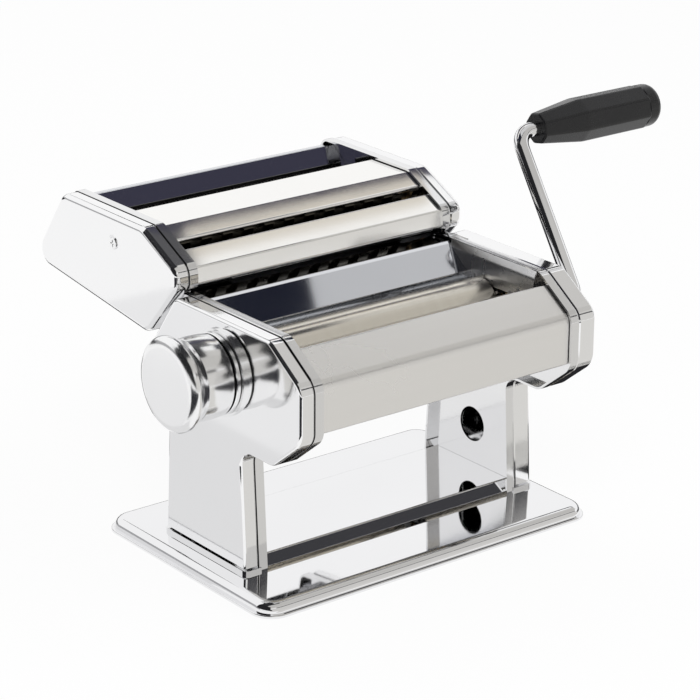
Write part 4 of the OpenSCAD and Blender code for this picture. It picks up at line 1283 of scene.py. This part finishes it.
CARDS: Sequence[Card] = (
    Card("Chute card", (0.072, 0.060), (0.056, 0.005, 0.285), DOWN, (0.016, 0.018, 0.03)),
    Card("Chute grey card", (0.21, 0.060), (0.197, 0.005, 0.285), DOWN, (0.68, 0.68, 0.68)),
    Card("Hopper card", (0.30, 0.056), (0.090, 0.110, 0.285), DOWN, (0.055, 0.053, 0.080)),
    Card("Flange card", (0.075, 0.070), (-0.0235, 0.055, 0.285), DOWN, (0.10, 0.10, 0.105)),
    Card("Bevel card", (0.17, 0.018), (0.100, 0.0755, 0.285), DOWN, (0.70, 0.66, 0.59)),
    Card("Front wall", (2.9, 0.18), (1.15, -1.35, 0.94), TO_REAR, (0.05, 0.05, 0.055)),
    Card("Front high wall", (4.0, 0.62), (0.6, -1.35, 1.34), TO_REAR, (0.62, 0.61, 0.59)),
    Card("Front low wall", (4.0, 0.85), (0.6, -1.35, 0.425), TO_REAR, (0.66, 0.65, 0.63)),
    Card("Front ceiling", (3.8, 0.9), (0.7, -0.85, 1.3), DOWN, (0.55, 0.54, 0.52)),
    Card("Grey ceiling", (1.5, 0.36), (1.2, -0.22, 1.3), DOWN, (0.60, 0.59, 0.57)),
    Card("Left ceiling", (2.3, 0.85), (-0.7, 0.02, 1.3), DOWN, (0.03, 0.03, 0.033)),
    Card("Left wall", (1.60, 1.35), (-1.0, -0.20, 0.825), TO_RIGHT, BLACK_CARD),
    Card("Left low wall", (1.0, 0.35), (-1.0, -1.50, 0.325), TO_RIGHT, BLACK_CARD),
    Card("Left floor card", (0.715, 0.78), (-0.5925, -0.35, 0.001), UP, (0.03, 0.03, 0.035)),
    Card("Leg card", (0.100, 0.22), (-0.155, 0.09, 0.001), UP, (0.78, 0.78, 0.785)),
    Card("Head card", (0.110, 0.30), (-0.260, 0.21, 0.001), UP, (0.875, 0.875, 0.88)),
    Card("Right floor card", (1.1, 0.945), (0.45, -0.5475, 0.001), UP, (0.71, 0.70, 0.675)),
    Card("Rear skirting", (5.0, 0.28), (1.2, 2.0, 0.14), TO_FRONT, BLACK_CARD),
    Card("Right skirting", (3.0, 0.28), (2.2, 0.6, 0.14), TO_LEFT, BLACK_CARD),
    Card("Right edge card", (0.09, 0.26), (0.165, 0.02, 0.001), UP, BLACK_CARD),
    Card("Rear floor card", (0.46, 0.25), (0.12, 0.275, 0.001), UP, (0.03, 0.03, 0.033)),
    Card("Left rear skirting", (3.0, 0.5), (-1.4, 1.5, 0.26), (0.7, -0.7, 0), (0.40, 0.40, 0.41)),
    Card("Fold card", (1.3, 0.10), (0.52, 0.47, 0.76), (-0.578, -0.47, -0.6), (0.03, 0.03, 0.035)),
)


@dataclass
class Studio:
    """Floor, lights, cards and the camera."""

    focal_px: float = 2778.47
    frame_px: float = 700.0
    sensor: float = 36.0
    distance: float = 1407.78
    azimuth: float = -38.052
    elevation: float = 20.340
    roll: float = 0.387
    target: Vec3 = (-0.655, -0.772, 95.126)
    floor_size: float = 14.0
    floor_drop: float = 0.0004
    floor_tone: Vec3 = (0.93, 0.93, 0.93)
    floor_glow: float = 0.92
    surround: float = 0.62
    aim: Vec3 = (0.0, 0.0, 0.1)
    lamps: Sequence[Tuple[str, Vec3, float, float]] = (
        ("Key", (-0.9, -0.9, 1.5), 0.9, 14.0),
        ("Fill", (1.2, -0.7, 1.1), 1.0, 7.0),
        ("Back", (0.2, 1.3, 1.4), 0.8, 6.0))

    def camera(self) -> None:
        """Sets the camera where the photograph was taken from."""
        data = bpy.data.cameras.new("Camera")
        data.sensor_width = self.sensor
        data.lens = self.focal_px * data.sensor_width / self.frame_px
        data.clip_start, data.clip_end = 0.01, 50.0
        a, e, roll = (math.radians(v) for v in (self.azimuth, self.elevation, self.roll))
        back = Vector((math.sin(a) * math.cos(e), -math.cos(a) * math.cos(e), math.sin(e)))
        right = Vector(UP).cross(back).normalized()
        up = back.cross(right)
        c, s = math.cos(roll), math.sin(roll)
        right, up = c * right + s * up, c * up - s * right
        cam = bpy.data.objects.new("Camera", data)
        cam.matrix_world = Matrix((right, up, back)).transposed().to_4x4()
        cam.matrix_world.translation = (Vector(self.target) + back * self.distance) * MM
        bpy.context.scene.collection.objects.link(cam)
        bpy.context.scene.camera = cam

    @staticmethod
    def _flat(name: str, size: Point, middle: Vec3, look: Vec3, material: bpy.types.Material) -> bpy.types.Object:
        """Makes a flat stage board.

        Args:
            name: The board's name.
            size: Its width and height in metres.
            middle: Its middle.
            look: The direction that it faces.
            material: Its material.

        Returns:
            The board.
        """
        bm = bmesh.new()
        bmesh.ops.create_grid(bm, x_segments=1, y_segments=1, size=0.5)
        bmesh.ops.scale(bm, vec=(*size, 1.0), verts=bm.verts[:])
        turn = Vector(look).to_track_quat("Z", "Y").to_matrix().to_4x4()
        bmesh.ops.transform(bm, matrix=Matrix.Translation(middle) @ turn, verts=bm.verts[:])
        mesh = bpy.data.meshes.new(name)
        bm.to_mesh(mesh)
        bm.free()
        mesh.materials.append(material)
        board = bpy.data.objects.new(name, mesh)
        bpy.context.scene.collection.objects.link(board)
        return board

    @staticmethod
    def _seen(tree: Tree) -> Socket:
        """Returns 1 for what the camera sees directly, in a mirror or through glass."""
        path = add_node(tree, "LightPath")
        last = path.outputs["Is Camera Ray"]
        for key in ("Is Glossy Ray", "Is Transmission Ray"):
            most = add_node(tree, "Math", operation="MAXIMUM")
            tree.links.new(last, most.inputs[0])
            tree.links.new(path.outputs[key], most.inputs[1])
            last = most.outputs[0]
        return last

    @staticmethod
    def _blend(tree: Tree, share: Socket, first: bpy.types.Node, second: bpy.types.Node, end: str) -> None:
        """Mixes two shaders into a tree's output.

        Args:
            tree: The tree.
            share: The second shader's share.
            first: The first shader.
            second: The second shader.
            end: The name of the output node.
        """
        mix = add_node(tree, "MixShader")
        for i, socket in enumerate((share, first.outputs[0], second.outputs[0])):
            tree.links.new(socket, mix.inputs[i])
        tree.links.new(mix.outputs[0], tree.nodes[end].inputs["Surface"])

    def floor(self) -> None:
        """Lays the white floor, which keeps a soft shadow."""
        mat = bpy.data.materials.new("White floor")
        mat.use_nodes = True
        tree = mat.node_tree
        shader = tree.nodes["Principled BSDF"]
        shader.inputs["Base Color"].default_value = (*self.floor_tone, 1.0)
        shader.inputs["Roughness"].default_value = 0.9
        shader.inputs["Specular IOR Level"].default_value = 0.0
        share = add_node(tree, "Math", {1: self.floor_glow}, operation="MULTIPLY")
        tree.links.new(self._seen(tree), share.inputs[0])
        self._blend(tree, share.outputs[0], shader, add_node(tree, "Emission"), "Material Output")
        self._flat("Floor", (self.floor_size, self.floor_size), (0.0, 0.0, -self.floor_drop), UP, mat)

    def world(self) -> None:
        """Sets a white surround: full white where it is seen, a softer light on the object."""
        world = bpy.data.worlds.new("White studio")
        bpy.context.scene.world = world
        world.use_nodes = True
        tree = world.node_tree
        white = tree.nodes["Background"]
        white.inputs["Color"].default_value = (1, 1, 1, 1)
        white.inputs["Strength"].default_value = 1.0
        soft = add_node(tree, "Background", {"Strength": self.surround})
        self._blend(tree, self._seen(tree), soft, white, "World Output")

    def lights(self) -> None:
        """Hangs the soft lights, which polished metal doesn't mirror."""
        for name, spot, size, power in self.lamps:
            data = bpy.data.lights.new(name, "AREA")
            data.size = size
            data.energy = power
            lamp = bpy.data.objects.new(name, data)
            lamp.location = spot
            lamp.rotation_euler = (Vector(self.aim) - Vector(spot)).to_track_quat("-Z", "Y").to_euler()
            lamp.visible_glossy = False
            bpy.context.scene.collection.objects.link(lamp)

    def cards(self) -> None:
        """Sets the cards that draw the grey and dark shapes in the polished steel."""
        for card in CARDS:
            mat = bpy.data.materials.new(card.name)
            mat.use_nodes = True
            tree = mat.node_tree
            glow = add_node(tree, "Emission", {"Color": (*card.tone, 1.0)})
            tree.links.new(glow.outputs[0], tree.nodes["Material Output"].inputs["Surface"])
            board = self._flat(card.name, card.size, card.middle, card.look, mat)
            board.visible_camera = False
            board.visible_diffuse = False
            board.visible_shadow = False
            board.visible_transmission = False

    def build(self) -> None:
        """Builds the whole studio."""
        bpy.context.scene.view_settings.view_transform = "Standard"
        self.camera()
        self.floor()
        self.world()
        self.lights()
        self.cards()


def dress_solids() -> None:
    """Gives every solid that still shows its own finish."""
    for name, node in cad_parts.items():
        finish = NODE_FINISHES.get(name, ZINC_STEEL)
        for worn in node.material_slots:
            worn.material = finish.material()


def main() -> None:
    """Builds the machine's pieces in order, then the studio."""
    logging.basicConfig(level=logging.INFO, format="%(message)s")
    dress_solids()
    for part in (BasePlate(), CrossPlate(), BodyEnds(), AttachmentEnds(), Panels(), DoughGuides(), HopperTeeth(),
                 AdjustableRoller(), SettingKnob(), Crank()):
        LOG.info("building %s", type(part).__name__)
        part.build()
    Studio().build()


if __name__ == "__main__":
    main()
